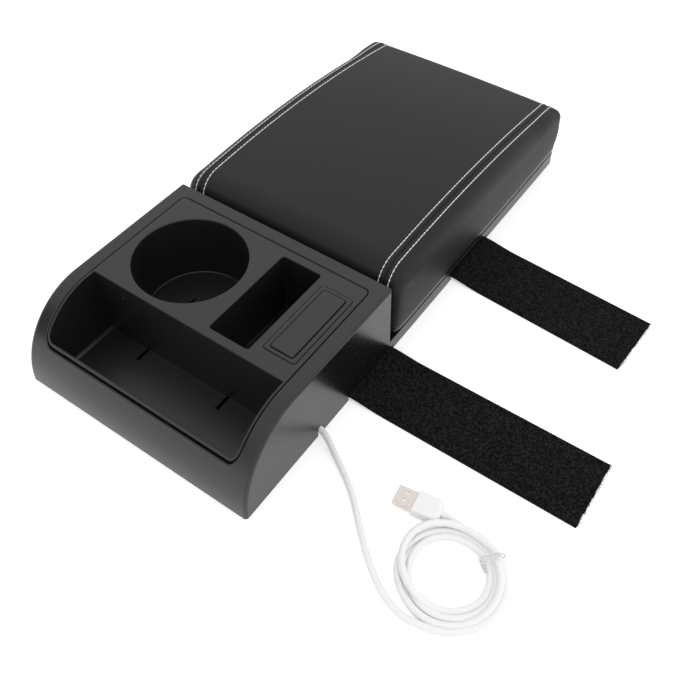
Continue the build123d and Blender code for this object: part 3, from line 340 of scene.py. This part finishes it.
def pu_leatherette():
    """PU-coated knit: an embossed pebble grain that breaks the light into a soft, slightly waxy sheen."""
    material, tree, shader = new_material("pu_leatherette", IOR=1.35)
    place = add_node(tree, "TexCoord").outputs["Object"]
    # Pebbles of real leatherette are about 0.8 mm; these are drawn at 1.3 mm so that they show
    pebble = add_node(
        tree, "TexVoronoi", {"Vector": place, "Scale": 1000 / 1.3, "Randomness": 1.0},
        feature="SMOOTH_F1",
    )
    pores = add_node(tree, "TexNoise", {"Vector": place, "Scale": 1000 / 0.7, "Detail": 3.0})
    wear = add_node(tree, "TexNoise", {"Vector": place, "Scale": 1000 / 60, "Detail": 4.0})
    skin = add_node(
        tree, "Mix", {"Factor": 0.35, "A": pebble.outputs["Distance"], "B": pores.outputs["Fac"]},
        data_type="FLOAT",
    )
    shine = add_node(tree, "MapRange", {"Value": wear.outputs["Fac"], "To Min": 0.50, "To Max": 0.62})
    # Pulled tight round the hem the grain is stretched flat, so it shines there
    height = add_node(tree, "SeparateXYZ", {"Vector": place})
    hem = {"Value": height.outputs["Z"], "From Min": HEM_SHINE_ENDS[0], "From Max": HEM_SHINE_ENDS[1]}
    stretched = add_node(tree, "MapRange", {**hem, "To Min": 0.27, "To Max": shine.outputs["Result"]})
    depth = add_node(tree, "MapRange", {**hem, "To Min": 0.03, "To Max": 0.45})
    bump = add_node(
        tree, "Bump",
        {"Height": skin.outputs["Result"], "Strength": depth.outputs["Result"], "Distance": 0.00022},
        invert=True,
    )
    tree.links.new(bump.outputs["Normal"], shader.inputs["Normal"])
    tree.links.new(stretched.outputs["Result"], shader.inputs["Roughness"])
    vary_finish(tree, shader, wear.outputs["Fac"], ("#18181A", "#1E1E1F"))
    return material


def stitching_thread():
    """Bonded polyester thread in pale grey: its twisted plies catch the light here and there."""
    material, tree, shader = new_material("polyester_thread", Roughness=0.55, IOR=1.5)
    place = add_node(tree, "TexCoord").outputs["Object"]
    twist = add_node(tree, "TexNoise", {"Vector": place, "Scale": 1000 / 0.8, "Detail": 1.0})
    vary_finish(tree, shader, twist.outputs["Fac"], ("#DADAD8", "#F4F4F2"))
    return material


def loop_webbing():
    """Black nylon loop webbing: brushed loops swallow the light, and faint light specks are painted on the
    raised loops.
    """
    material, tree, shader = new_material("nylon_loop_webbing", Roughness=0.95, IOR=1.25)
    place = add_node(tree, "TexCoord").outputs["Object"]
    # Loops are about 0.5 mm across; they are drawn at 1.4 mm so that they show
    loops = add_node(
        tree, "TexNoise", {"Vector": place, "Scale": 1000 / 1.4, "Detail": 3.0, "Roughness": 0.6},
    )
    # The colour follows the same noise as the bump: painted shade in the hollows between the loops, and a
    # painted sheen of faint light specks on their raised tops
    tint = add_node(tree, "ValToRGB", {"Fac": loops.outputs["Fac"]})
    for stop, position, colour in zip(tint.color_ramp.elements, (0.43, 0.68), ("#030303", "#262627")):
        stop.position = position
        stop.color = linear(colour)
    bump = add_node(tree, "Bump", {"Height": loops.outputs["Fac"], "Strength": 0.9, "Distance": 0.0005})
    tree.links.new(tint.outputs["Color"], shader.inputs["Base Color"])
    tree.links.new(bump.outputs["Normal"], shader.inputs["Normal"])
    return material


def soft_pvc(name, colours, roughness):
    """Extruded flexible PVC: smooth, a little waxy, with a faint waviness of the surface."""
    material, tree, shader = new_material(name, IOR=1.53, Roughness=roughness, Subsurface_Weight=0.06)
    shader.inputs["Subsurface Radius"].default_value = (0.0012, 0.0010, 0.0008)
    place = add_node(tree, "TexCoord").outputs["Object"]
    wave = add_node(tree, "TexNoise", {"Vector": place, "Scale": 1000 / 4, "Detail": 2.0})
    bump = add_node(tree, "Bump", {"Height": wave.outputs["Fac"], "Strength": 0.2, "Distance": 0.0001})
    tree.links.new(bump.outputs["Normal"], shader.inputs["Normal"])
    vary_finish(tree, shader, wave.outputs["Fac"], colours)
    return material


def plated_metal(name, colours, roughness):
    """Steel with a bright plating, whose small unevenness softens the reflections."""
    material, tree, shader = new_material(name, Metallic=1.0)
    place = add_node(tree, "TexCoord").outputs["Object"]
    patches = add_node(tree, "TexNoise", {"Vector": place, "Scale": 1000 / 1.5, "Detail": 3.0})
    vary_finish(tree, shader, patches.outputs["Fac"], colours, (roughness - 0.08, roughness + 0.08))
    return material


def plain_moulding(name, colours, roughness, scale_mm):
    """Small moulded or cut piece whose surface is matt and slightly mottled."""
    material, tree, shader = new_material(name, IOR=1.5)
    place = add_node(tree, "TexCoord").outputs["Object"]
    mottle = add_node(tree, "TexNoise", {"Vector": place, "Scale": 1000 / scale_mm, "Detail": 3.0})
    vary_finish(tree, shader, mottle.outputs["Fac"], colours, (roughness - 0.06, roughness + 0.06))
    return material


def clear_tie_film():
    """Clear PE twist tie: a thin milky film with a gloss."""
    material, tree, shader = new_material(
        "clear_pe_tie", IOR=1.45, Roughness=0.3, Transmission_Weight=0.25,
    )
    place = add_node(tree, "TexCoord").outputs["Object"]
    cloud = add_node(tree, "TexNoise", {"Vector": place, "Scale": 1000 / 2, "Detail": 2.0})
    vary_finish(tree, shader, cloud.outputs["Fac"], ("#DADCDD", "#F4F4F4"))
    return material


def place_mesh(name, mesh_data, material, body):
    """New piece from a bmesh, smooth shaded, riding on its body."""
    mesh_data.normal_update()
    mesh = bpy.data.meshes.new(name)
    mesh_data.to_mesh(mesh)
    mesh_data.free()
    for face in mesh.polygons:
        face.use_smooth = True
    mesh.materials.append(material)
    piece = bpy.data.objects.new(name, mesh)
    bpy.context.scene.collection.objects.link(piece)
    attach(piece, body)
    return piece


def ease(value, start, stop):
    """Smooth step from 0 to 1."""
    share = min(1.0, max(0.0, (value - start) / (stop - start)))
    return share * share * (3 - 2 * share)


def dent(distance, width):
    """Bell curve of a given half width."""
    return math.exp(-((distance / width) ** 2))


def lid_stations(shares):
    """Side profile of the cover from hem over the top to hem: points, normals, share of the wall height."""
    crest = Vector((0, LID_FRONT + CREST_BACK, LID_TOP - TOP_RADIUS))
    fore = Vector((0, LID_FRONT + FRONT_ROLL, 0))
    fore.z = crest.z + math.sqrt((TOP_RADIUS - FRONT_ROLL) ** 2 - (fore.y - crest.y) ** 2)
    aft = Vector((0, LID_REAR - REAR_ROLL, 0))
    aft.z = crest.z + math.sqrt((TOP_RADIUS - REAR_ROLL) ** 2 - (aft.y - crest.y) ** 2)
    fore_turn = math.atan2(fore.z - crest.z, fore.y - crest.y)
    aft_turn = math.atan2(aft.z - crest.z, aft.y - crest.y)
    low = HEM + HEM_FOLD
    stations = [
        (Vector((0, LID_FRONT, low + (fore.z - low) * share)), Vector((0, -1, 0)), share) for share in shares
    ]
    arcs = (
        (fore, FRONT_ROLL, math.pi, fore_turn, FRONT_ROLL_STEPS),
        (crest, TOP_RADIUS, fore_turn, aft_turn, TOP_STEPS),
        (aft, REAR_ROLL, aft_turn, 0.0, REAR_ROLL_STEPS),
    )
    for centre, radius, start, stop, steps in arcs:
        for step in range(steps):
            turn = start + (stop - start) * step / steps
            normal = Vector((0, math.cos(turn), math.sin(turn)))
            stations.append((centre + radius * normal, normal, 1.0))
    for share in (1.0, *reversed(shares)):
        stations.append((Vector((0, LID_REAR, low + (aft.z - low) * share)), Vector((0, 1, 0)), share))
    return stations


def cover_point(point, normal, along):
    """Place and normal on the cover at a distance across from its middle line, round the side roll."""
    out = Vector((math.copysign(1, along), 0, 0))
    distance = abs(along)
    tight = ease(point.y, LID_REAR - ROLL_TIGHTENING, LID_REAR - REAR_ROLL)
    roll = SIDE_ROLL + (REAR_SIDE_ROLL - SIDE_ROLL) * tight
    flat = LID_HALF - roll
    if distance > SEAM_END:
        stretch = (flat + roll * math.pi / 2 - SEAM_END) / (HALF_FLAT + SIDE_ROLL * math.pi / 2 - SEAM_END)
        distance = SEAM_END + (distance - SEAM_END) * stretch
    turn = max(0.0, distance - flat) / roll
    across, onward = math.sin(turn), max(0.0, math.cos(turn))
    power = 2 + CORNER_POWER * (1 - max(0.0, normal.z))
    radius = roll * (across ** power + onward ** power) ** (-1 / power)
    place = point + out * (min(distance, flat) + radius * across) - normal * (roll - radius * onward)
    place.z -= CROWN * min(1.0, distance / HALF_FLAT) ** 2 * max(0.0, normal.z)
    return place, normal * onward + out * across


def cover_relief(along):
    """How far the leather stands from the plain form: welts and sides out, seam and stitch rows in."""
    off_seam = abs(along) - SEAM
    relief = WELT * dent(abs(off_seam) - WELT_OFF_SEAM, WELT_WIDTH)
    relief += SIDE_BULGE * ease(abs(along), OUTER_ROW, OUTER_ROW + SIDE_BULGE_RUN)
    relief -= SEAM_GROOVE * dent(off_seam, SEAM_GROOVE_WIDTH)
    relief -= ROW_GROOVE * dent(abs(along) - INNER_ROW, ROW_GROOVE_WIDTH)
    relief -= ROW_GROOVE * dent(abs(along) - OUTER_ROW, ROW_GROOVE_WIDTH)
    return relief


def hinge_notch(place):
    """How far the rear hem is cut up round a hinge knuckle."""
    start, stop = (HINGE_NOTCH + reach for reach in HINGE_NOTCH_SLOPE)
    return HINGE_NOTCH_RISE * (1 - ease(abs(abs(place.x) - HINGE_X), start, stop))


def cover_columns():
    """Distances across the cover, close together at the seam and wider elsewhere."""
    seam_steps = round((SEAM_END - SEAM_START) / SEAM_STEP)
    right = [PANEL_STEP * step for step in range(math.ceil(SEAM_START / PANEL_STEP))]
    right += [SEAM_START + SEAM_STEP * step for step in range(seam_steps + 1)]
    last = HALF_FLAT + SIDE_ROLL * math.pi / 2
    right += [SEAM_END + (last - SEAM_END) * step / SIDE_STEPS for step in range(1, SIDE_STEPS + 1)]
    return [-distance for distance in reversed(right[1:])] + right


def padded_out(place, outward, share):
    """A wall point pushed out by the padding, with a bead at the hem, and cut up round the hinges."""
    swell = math.sin(math.pi * share)
    bead = HEM_BEAD * (1 - ease(share, *HEM_BEAD_ENDS))
    front, back = max(0.0, -outward.y), max(0.0, outward.y)
    lean = REAR_PUFF * back * swell ** 2 - FRONT_LEAN * front * (1 - ease(share, *FRONT_LEAN_ENDS))
    rise = hinge_notch(place) * back * (1 - share)
    return place + outward * (PUFF * swell + bead) * (1 - back) + Vector((0, lean, rise))


def side_patch(edge, sign):
    """Rows of one side wall, from the top's edge down to the hem, filled in between its front and rear."""
    walls = len(WALL_SHARES)
    front = edge[:walls + 1]
    top = edge[walls:len(edge) - walls]
    rear = list(reversed(edge[len(edge) - walls - 1:]))
    patch = [list(top)]
    for row in reversed(range(walls)):
        upward = WALL_SHARES[row]
        line = [front[row]]
        for step in range(1, len(top) - 1):
            rearward = step / (len(top) - 1)
            foot = front[0][0].lerp(rear[0][0], rearward)
            place = foot.lerp(top[step][0], upward) + front[row][0].lerp(rear[row][0], rearward)
            place -= foot.lerp(front[-1][0].lerp(rear[-1][0], rearward), upward)
            line.append((place, Vector((sign, 0, 0)), upward))
        line.append(rear[row])
        patch.append(line)
    return patch


def fold_hem(mesh_data, rim):
    """Turns the leather in under the hem all round: a small fold, then a flat strip."""
    ring = [corner[0] for corner in rim]
    folds = [(HEM_FOLD * (1 - math.cos(turn)), HEM_FOLD * math.sin(turn)) for turn in HEM_FOLD_TURNS]
    for inward, down in folds + [(HEM_FOLD + HEM_TURNED_IN, HEM_FOLD)]:
        lower = []
        for _, place, outward in rim:
            level = Vector((outward.x, outward.y, 0)).normalized()
            lower.append(mesh_data.verts.new(place - level * inward - Vector((0, 0, down))))
        for step in range(len(ring)):
            after = (step + 1) % len(ring)
            mesh_data.faces.new((ring[after], ring[step], lower[step], lower[after]))
        ring = lower


def lid_cover(material):
    """Padded leather cover: crowned top panel, side panels, seams, and a hem folded in on the rim."""
    columns = cover_columns()
    grid = []
    for point, normal, share in lid_stations(WALL_SHARES):
        row = []
        for along in columns:
            place, outward = cover_point(point, normal, along)
            row.append((place + outward * cover_relief(along), outward, share))
        grid.append(row)

    mesh_data = bmesh.new()
    made = {}

    def vertex(corner):
        """Mesh vertex of a grid corner, made once."""
        if id(corner) not in made:
            place, outward, share = corner
            padded = padded_out(place, outward, share) if share < 1.0 else place
            made[id(corner)] = (mesh_data.verts.new(padded), padded, outward)
        return made[id(corner)]

    for low_row, high_row in zip(grid, grid[1:]):
        for step in range(len(columns) - 1):
            corners = (low_row[step], low_row[step + 1], high_row[step + 1], high_row[step])
            mesh_data.faces.new([vertex(corner)[0] for corner in corners])

    patches = []
    for column, sign in ((len(columns) - 1, 1), (0, -1)):
        patch = side_patch([row[column] for row in grid], sign)
        for high_line, low_line in zip(patch, patch[1:]):
            for step in range(len(high_line) - 1):
                corners = [low_line[step], low_line[step + 1], high_line[step + 1], high_line[step]]
                if sign < 0:
                    corners.reverse()
                mesh_data.faces.new([vertex(corner)[0] for corner in corners])
        patches.append(patch)

    right_foot, left_foot = (patch[-1][1:-1] for patch in patches)
    hem_loop = grid[0] + right_foot + list(reversed(grid[-1])) + list(reversed(left_foot))
    fold_hem(mesh_data, [vertex(corner) for corner in hem_loop])
    piece = place_mesh("lid_leather", mesh_data, material, "lid")
    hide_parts("cover_centre", "cover_left", "cover_right", "lid_foam")
    return piece


def row_path(along):
    """Line of a stitch row over the lid, with its normals and running length."""
    path = []
    travelled = 0.0
    wall_shares = [step / STITCH_WALL_STEPS for step in range(STITCH_WALL_STEPS)]
    for point, normal, share in lid_stations(wall_shares):
        place, outward = cover_point(point, normal, along)
        place = place + outward * cover_relief(along)
        if share < 1.0:
            place = padded_out(place, outward, share)
        if path:
            travelled += (place - path[-1][1]).length
        path.append((travelled, place, outward))
    return path


def on_path(path, distance):
    """Place and normal at a running length along a path."""
    for before, after in zip(path, path[1:]):
        if distance <= after[0]:
            share = (distance - before[0]) / (after[0] - before[0])
            return before[1].lerp(after[1], share), before[2].lerp(after[2], share).normalized()
    return path[-1][1], path[-1][2]


def add_tube(mesh_data, points, normals, radii, sides):
    """Closed thin tube through points, its rings turned to the given normals."""
    rings = []
    for index, place in enumerate(points):
        ahead = points[min(index + 1, len(points) - 1)] - points[max(index - 1, 0)]
        side = ahead.cross(normals[index]).normalized()
        up = side.cross(ahead).normalized()
        rings.append([
            mesh_data.verts.new(
                place + radii[index] * (math.cos(turn) * side + math.sin(turn) * up)
            )
            for turn in (2 * math.pi * step / sides for step in range(sides))
        ])
    for ring, following in zip(rings, rings[1:]):
        for step in range(sides):
            after = (step + 1) % sides
            mesh_data.faces.new((ring[step], ring[after], following[after], following[step]))
    mesh_data.faces.new(reversed(rings[0]))
    mesh_data.faces.new(rings[-1])


def lid_stitches(material):
    """Four rows of lockstitch along the seams, each stitch sunk at its ends and proud in its middle."""
    mesh_data = bmesh.new()
    for along in (-OUTER_ROW, -INNER_ROW, INNER_ROW, OUTER_ROW):
        path = row_path(along)
        count = int(path[-1][0] / STITCH_PITCH)
        for stitch in range(1, count):
            start = stitch * STITCH_PITCH + chance.uniform(-STITCH_WANDER, STITCH_WANDER)
            points, normals, radii = [], [], []
            for share, rise, part in STITCH_FORM:
                place, normal = on_path(path, start + share * STITCH_LENGTH)
                points.append(place + normal * rise)
                normals.append(normal)
                radii.append(THREAD_RADIUS * part)
            add_tube(mesh_data, points, normals, radii, THREAD_SIDES)
    return place_mesh("lid_stitching", mesh_data, material, "lid")


def strap_underside(along):
    """Height of a strap's underside at a distance out from the housing's side."""
    return STRAP_IN_Z + (STRAP_FLOOR_Z - STRAP_IN_Z) * ease(along, *STRAP_DROP)


def strap_point(strap, along, across, lift):
    """Point on a strap: distance out from the housing's side, across the strap, and over its underside."""
    side_y, _, lean = STRAPS[strap]
    turn = math.radians(lean)
    return Vector((
        SIDE_X + along * math.cos(turn) - across * math.sin(turn),
        side_y + along * math.sin(turn) + across * math.cos(turn),
        strap_underside(along) + lift,
    ))


def webbing_strap(strap, material):
    """Loop webbing laid on the floor: brushed pile between two thin selvedges, cut off at the end."""
    _, reach, lean = STRAPS[strap]
    steps = round((reach + STRAP_TUCK) / STRAP_GRID)
    lanes = round(STRAP_WIDTH / STRAP_GRID)
    # Slices through the noise, so that the end and the two layers of the pile don't repeat one another
    ragged_slice, coarse_slice, fine_slice = reach * 9, reach * 10, 3
    mesh_data = bmesh.new()
    rows = []
    for step in range(steps + 1):
        along = -STRAP_TUCK + (reach + STRAP_TUCK) * step / steps
        row = []
        for lane in range(lanes + 1):
            across = STRAP_WIDTH * (lane / lanes - 0.5)
            rim = STRAP_WIDTH / 2 - abs(across)
            ragged = 0.0
            if step == steps:
                ragged = RAGGED * noise.noise(Vector((across * RAGGED_WAVES, ragged_slice, 0)))
            coarse = noise.noise(Vector((along * COARSE_WAVES, across * COARSE_WAVES, coarse_slice)))
            fine = noise.noise(Vector((along * FINE_WAVES, across * FINE_WAVES, fine_slice)))
            pile = PILE_COARSE * coarse + PILE_FINE * fine
            lift = STRAP_THICKNESS - PILE_ROOM + pile * ease(rim, *PILE_GROWS)
            ridge = SELVEDGE * dent(rim - SELVEDGE_IN, SELVEDGE_WIDTH)
            lift += ridge - EDGE_ROUND * dent(rim, EDGE_ROUND_WIDTH)
            row.append(mesh_data.verts.new(strap_point(strap, along + ragged, across, lift)))
        rows.append(row)
    for row, following in zip(rows, rows[1:]):
        for lane in range(lanes):
            mesh_data.faces.new((row[lane], following[lane], following[lane + 1], row[lane + 1]))
    rim_edges = [edge for edge in mesh_data.edges if edge.is_boundary]
    skirt = bmesh.ops.extrude_edge_only(mesh_data, edges=rim_edges)["geom"]
    for vertex in [part for part in skirt if isinstance(part, bmesh.types.BMVert)]:
        vertex.co.z = strap_underside((vertex.co.x - SIDE_X) / math.cos(math.radians(lean)))
    under = [edge for edge in mesh_data.edges if edge.is_boundary]
    bmesh.ops.contextual_create(mesh_data, geom=under)
    bmesh.ops.recalc_face_normals(mesh_data, faces=mesh_data.faces)
    piece = place_mesh(f"{strap}_webbing", mesh_data, material, "root")
    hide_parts(strap)
    return piece


def strap_fray(strap, material):
    """Loose fibres left along a strap's cut end."""
    reach = STRAPS[strap][1]
    mesh_data = bmesh.new()
    for _ in range(FRAY_FIBRES):
        across = chance.uniform(-FRAY_SPREAD, FRAY_SPREAD) * STRAP_WIDTH
        length = chance.uniform(*FRAY_LENGTH)
        lean, climb = chance.uniform(*FRAY_LEAN), chance.uniform(*FRAY_CLIMB)
        lift = chance.uniform(*FRAY_LIFT)
        points = [
            strap_point(
                strap, reach - FRAY_ROOT + length * share,
                across + length * lean * share ** 2, lift + length * climb * share,
            )
            for share in FRAY_SHARES
        ]
        add_tube(mesh_data, points, [Vector((0, 0, 1))] * len(points), FRAY_RADII, FRAY_SIDES)
    return place_mesh(f"{strap}_fray", mesh_data, material, "root")


def coil_place(turn):
    """Point of the coil at a number of turns back from the plug, between the set radii and heights."""
    for before, after in zip(COIL_TURNS, COIL_TURNS[1:]):
        if turn <= after[0]:
            break
    share = (turn - before[0]) / (after[0] - before[0])
    radius = (before[1] + (after[1] - before[1]) * share) * COIL_SCALE
    height = before[2] + (after[2] - before[2]) * share
    angle = math.radians(COIL_PLUG_ANGLE) - 2 * math.pi * turn
    return COIL_CENTRE + Vector((radius * math.cos(angle), radius * math.sin(angle), height))


def usb_cable(material):
    """White lead from the housing's notch along the floor into its coil, ending in the plug's neck."""
    route = [Vector(point) for point in LEAD_ROUTE]
    first_turn, last_turn = COIL_TURNS[0][0], COIL_TURNS[-1][0]
    count = round((last_turn - first_turn) * COIL_POINTS_PER_TURN)
    route += [coil_place(last_turn - (last_turn - first_turn) * step / count) for step in range(count + 1)]
    route += [Vector(point) for point in PLUG_RUN]
    curve = bpy.data.curves.new("usb_cable", "CURVE")
    curve.dimensions = "3D"
    curve.bevel_depth = CABLE_RADIUS
    curve.bevel_resolution = 5
    curve.resolution_u = 6
    curve.use_fill_caps = True
    line = curve.splines.new("NURBS")
    line.points.add(len(route) - 1)
    for control, place in zip(line.points, route):
        control.co = (*place, 1.0)
    line.order_u = 3
    line.use_endpoint_u = True
    curve.materials.append(material)
    piece = bpy.data.objects.new("usb_cable", curve)
    bpy.context.scene.collection.objects.link(piece)
    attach(piece, "root")
    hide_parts("usb_lead", "cable_coil")
    return piece


def twist_tie(material):
    """Thin clear tie: two turns drawn round the bundle, its ends twisted together inside the coil."""
    bearing = math.radians(TIE_ANGLE)
    spoke = Vector((math.cos(bearing), math.sin(bearing), 0))
    onward = Vector((spoke.y, -spoke.x, 0))
    middle = COIL_CENTRE + spoke * TIE_RADIUS + Vector((0, 0, TIE_HEIGHT))
    mesh_data = bmesh.new()
    for shift, skew in TIE_TURNS:
        points = []
        for step in range(TIE_TURN_STEPS + 1):
            turn = 2 * math.pi * step / TIE_TURN_STEPS
            across, up = math.cos(turn), math.sin(turn)
            points.append(
                middle + spoke * TIE_HALF[0] * math.copysign(abs(across) ** TIE_SQUARENESS, across)
                + Vector((0, 0, TIE_HALF[1] * math.copysign(abs(up) ** TIE_SQUARENESS, up)))
                + onward * (shift + skew * across)
            )
        add_tube(mesh_data, points, [onward] * len(points), [TIE_WIRE] * len(points), TIE_SIDES)
    for phase in (0.0, math.pi):
        points = []
        for step in range(TIE_END_STEPS + 1):
            turn = phase + TIE_END_HALF_TURNS * math.pi * step / TIE_END_STEPS
            points.append(
                middle - spoke * (TIE_HALF[0] - TIE_END_IN) + onward * TIE_END * step / TIE_END_STEPS
                + TIE_END_TWIST * (spoke * math.cos(turn) + Vector((0, 0, math.sin(turn))))
            )
        add_tube(mesh_data, points, [spoke] * len(points), [TIE_WIRE] * len(points), TIE_SIDES)
    piece = place_mesh("coil_tie", mesh_data, material, "root")
    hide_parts("cable_tie")
    return piece


def photo_camera(place, azimuth, elevation, roll, lens):
    """Camera at the photograph's angle."""
    camera_data = bpy.data.cameras.new("camera")
    camera_data.lens = lens
    camera_data.sensor_width = 36.0
    camera_data.clip_start = 0.01
    camera = bpy.data.objects.new("camera", camera_data)
    turn, rise = math.radians(azimuth), math.radians(elevation)
    back = Vector((math.sin(turn) * math.cos(rise), -math.cos(turn) * math.cos(rise), math.sin(rise)))
    upright = (-back).to_track_quat("-Z", "Y").to_matrix()
    camera.matrix_world = Matrix.Translation(place) @ (
        upright @ Matrix.Rotation(math.radians(roll), 3, "Z")
    ).to_4x4()
    bpy.context.scene.collection.objects.link(camera)
    bpy.context.scene.camera = camera


def white_surround():
    """White studio walls that light the object evenly, but for one dim side."""
    world = bpy.data.worlds.new("white_surround")
    world.use_nodes = True
    tree = world.node_tree
    tree.nodes["Background"].inputs["Color"].default_value = (1.0, 1.0, 1.0, 1.0)
    # The surround is dimmer low on the front left, where the studio is open, so the nose darkens to its left
    outlook = add_node(tree, "TexCoord").outputs["Generated"]
    facing = add_node(tree, "VectorMath", {0: outlook, 1: DIM_SIDE}, operation="DOT_PRODUCT")
    ends = {"From Min": DIM_FROM, "From Max": DIM_FULL, "To Min": SURROUND, "To Max": DIM_SURROUND}
    level = add_node(
        tree, "MapRange", {"Value": facing.outputs["Value"], **ends}, interpolation_type="SMOOTHSTEP",
    )
    tree.links.new(level.outputs["Result"], tree.nodes["Background"].inputs["Strength"])
    bpy.context.scene.world = world


def soft_lamps():
    """Large soft lamps that add a little light from one side and from above."""
    for name, place, aim, size, watts in SOFTBOXES:
        lamp_data = bpy.data.lights.new(name, "AREA")
        lamp_data.size = size
        lamp_data.energy = watts
        lamp = bpy.data.objects.new(name, lamp_data)
        lamp.location = place
        lamp.rotation_mode = "QUATERNION"
        lamp.rotation_quaternion = (Vector(aim) - Vector(place)).to_track_quat("-Z", "Y")
        bpy.context.scene.collection.objects.link(lamp)


def white_paper():
    """Matt white paper that reads as white to the camera and in reflections, and keeps soft shadows."""
    material, tree, shader = new_material(
        "white_paper", Base_Color=linear("#F4F4F4"), Roughness=0.95, Emission_Color=(1.0, 1.0, 1.0, 1.0),
    )
    shader.inputs["Specular IOR Level"].default_value = 0.0
    rays = add_node(tree, "LightPath")
    seen = rays.outputs["Is Camera Ray"]
    for kind in ("Is Glossy Ray", "Is Transmission Ray"):
        seen = add_node(tree, "Math", {0: seen, 1: rays.outputs[kind]}, operation="ADD").outputs["Value"]
    lift = add_node(tree, "Math", {0: seen, 1: FLOOR_LIGHT}, operation="MULTIPLY")
    tree.links.new(lift.outputs["Value"], shader.inputs["Emission Strength"])
    return material


def studio_floor(material):
    """Wide floor under the object, part of the studio and not of the object."""
    floor_data = bmesh.new()
    bmesh.ops.create_grid(floor_data, x_segments=1, y_segments=1, size=4.0)
    floor_mesh = bpy.data.meshes.new("studio_floor")
    floor_data.to_mesh(floor_mesh)
    floor_data.free()
    floor = bpy.data.objects.new("studio_floor", floor_mesh)
    bpy.context.scene.collection.objects.link(floor)
    floor_mesh.materials.append(material)


bpy.context.scene.view_settings.view_transform = "Standard"
photo_camera(
    place=Vector((0.2540, -0.3496, 0.4284)), azimuth=34.287, elevation=50.515, roll=0.775, lens=43.72,
)
white_surround()
soft_lamps()
studio_floor(white_paper())

black_abs = moulded_abs("moulded_black_abs", ("#0E0F10", "#131415"), 0.25, 0.6, 0.02)
charcoal_abs = moulded_abs("moulded_charcoal_abs", ("#131415", "#18191A"), 0.36, 0.6, 0.015)
white_pvc = soft_pvc("white_soft_pvc", ("#F0F0EF", "#F4F4F3"), 0.35)
plated_steel = plated_metal("nickel_plated_steel", ("#CEC6BF", "#DAD2CB"), 0.34)
zinc_steel = plated_metal("zinc_plated_steel", ("#A9ACB0", "#BFC2C4"), 0.38)
dark_nylon = plain_moulding("black_nylon", ("#161616", "#1C1C1C"), 0.5, 3)
board_laminate = plain_moulding("board_laminate", ("#14422A", "#1C5534"), 0.45, 4)
bumper_rubber = plain_moulding("bumper_rubber", ("#141414", "#1B1B1B"), 0.85, 2)
clear_tie = clear_tie_film()
leatherette = pu_leatherette()
thread = stitching_thread()
webbing = loop_webbing()

finishes = {
    black_abs: ("main_housing", "lid_pan", "base_plate"),
    charcoal_abs: ("console_insert", "hub_frame", "lift_block"),
    white_pvc: ("plug_overmould", "plug_tongue"),
    plated_steel: ("plug_shell", "usb_sockets", "lift_springs"),
    zinc_steel: ("base_screws", "insert_screws", "strap_anchors", "anchor_screws", "hinge_pins"),
    dark_nylon: ("lift_base", "usb_tongues", "cable_clamp", "hub_lead"),
    board_laminate: ("usb_board",),
    bumper_rubber: ("lid_bumpers",),
}
for finish, names in finishes.items():
    for name in names:
        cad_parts[name].data.materials.clear()
        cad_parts[name].data.materials.append(finish)

cable = usb_cable(white_pvc)
twist_tie(clear_tie)
lid_cover(leatherette)
lid_stitches(thread)
for strap in STRAPS:
    webbing_strap(strap, webbing)
    strap_fray(strap, webbing)
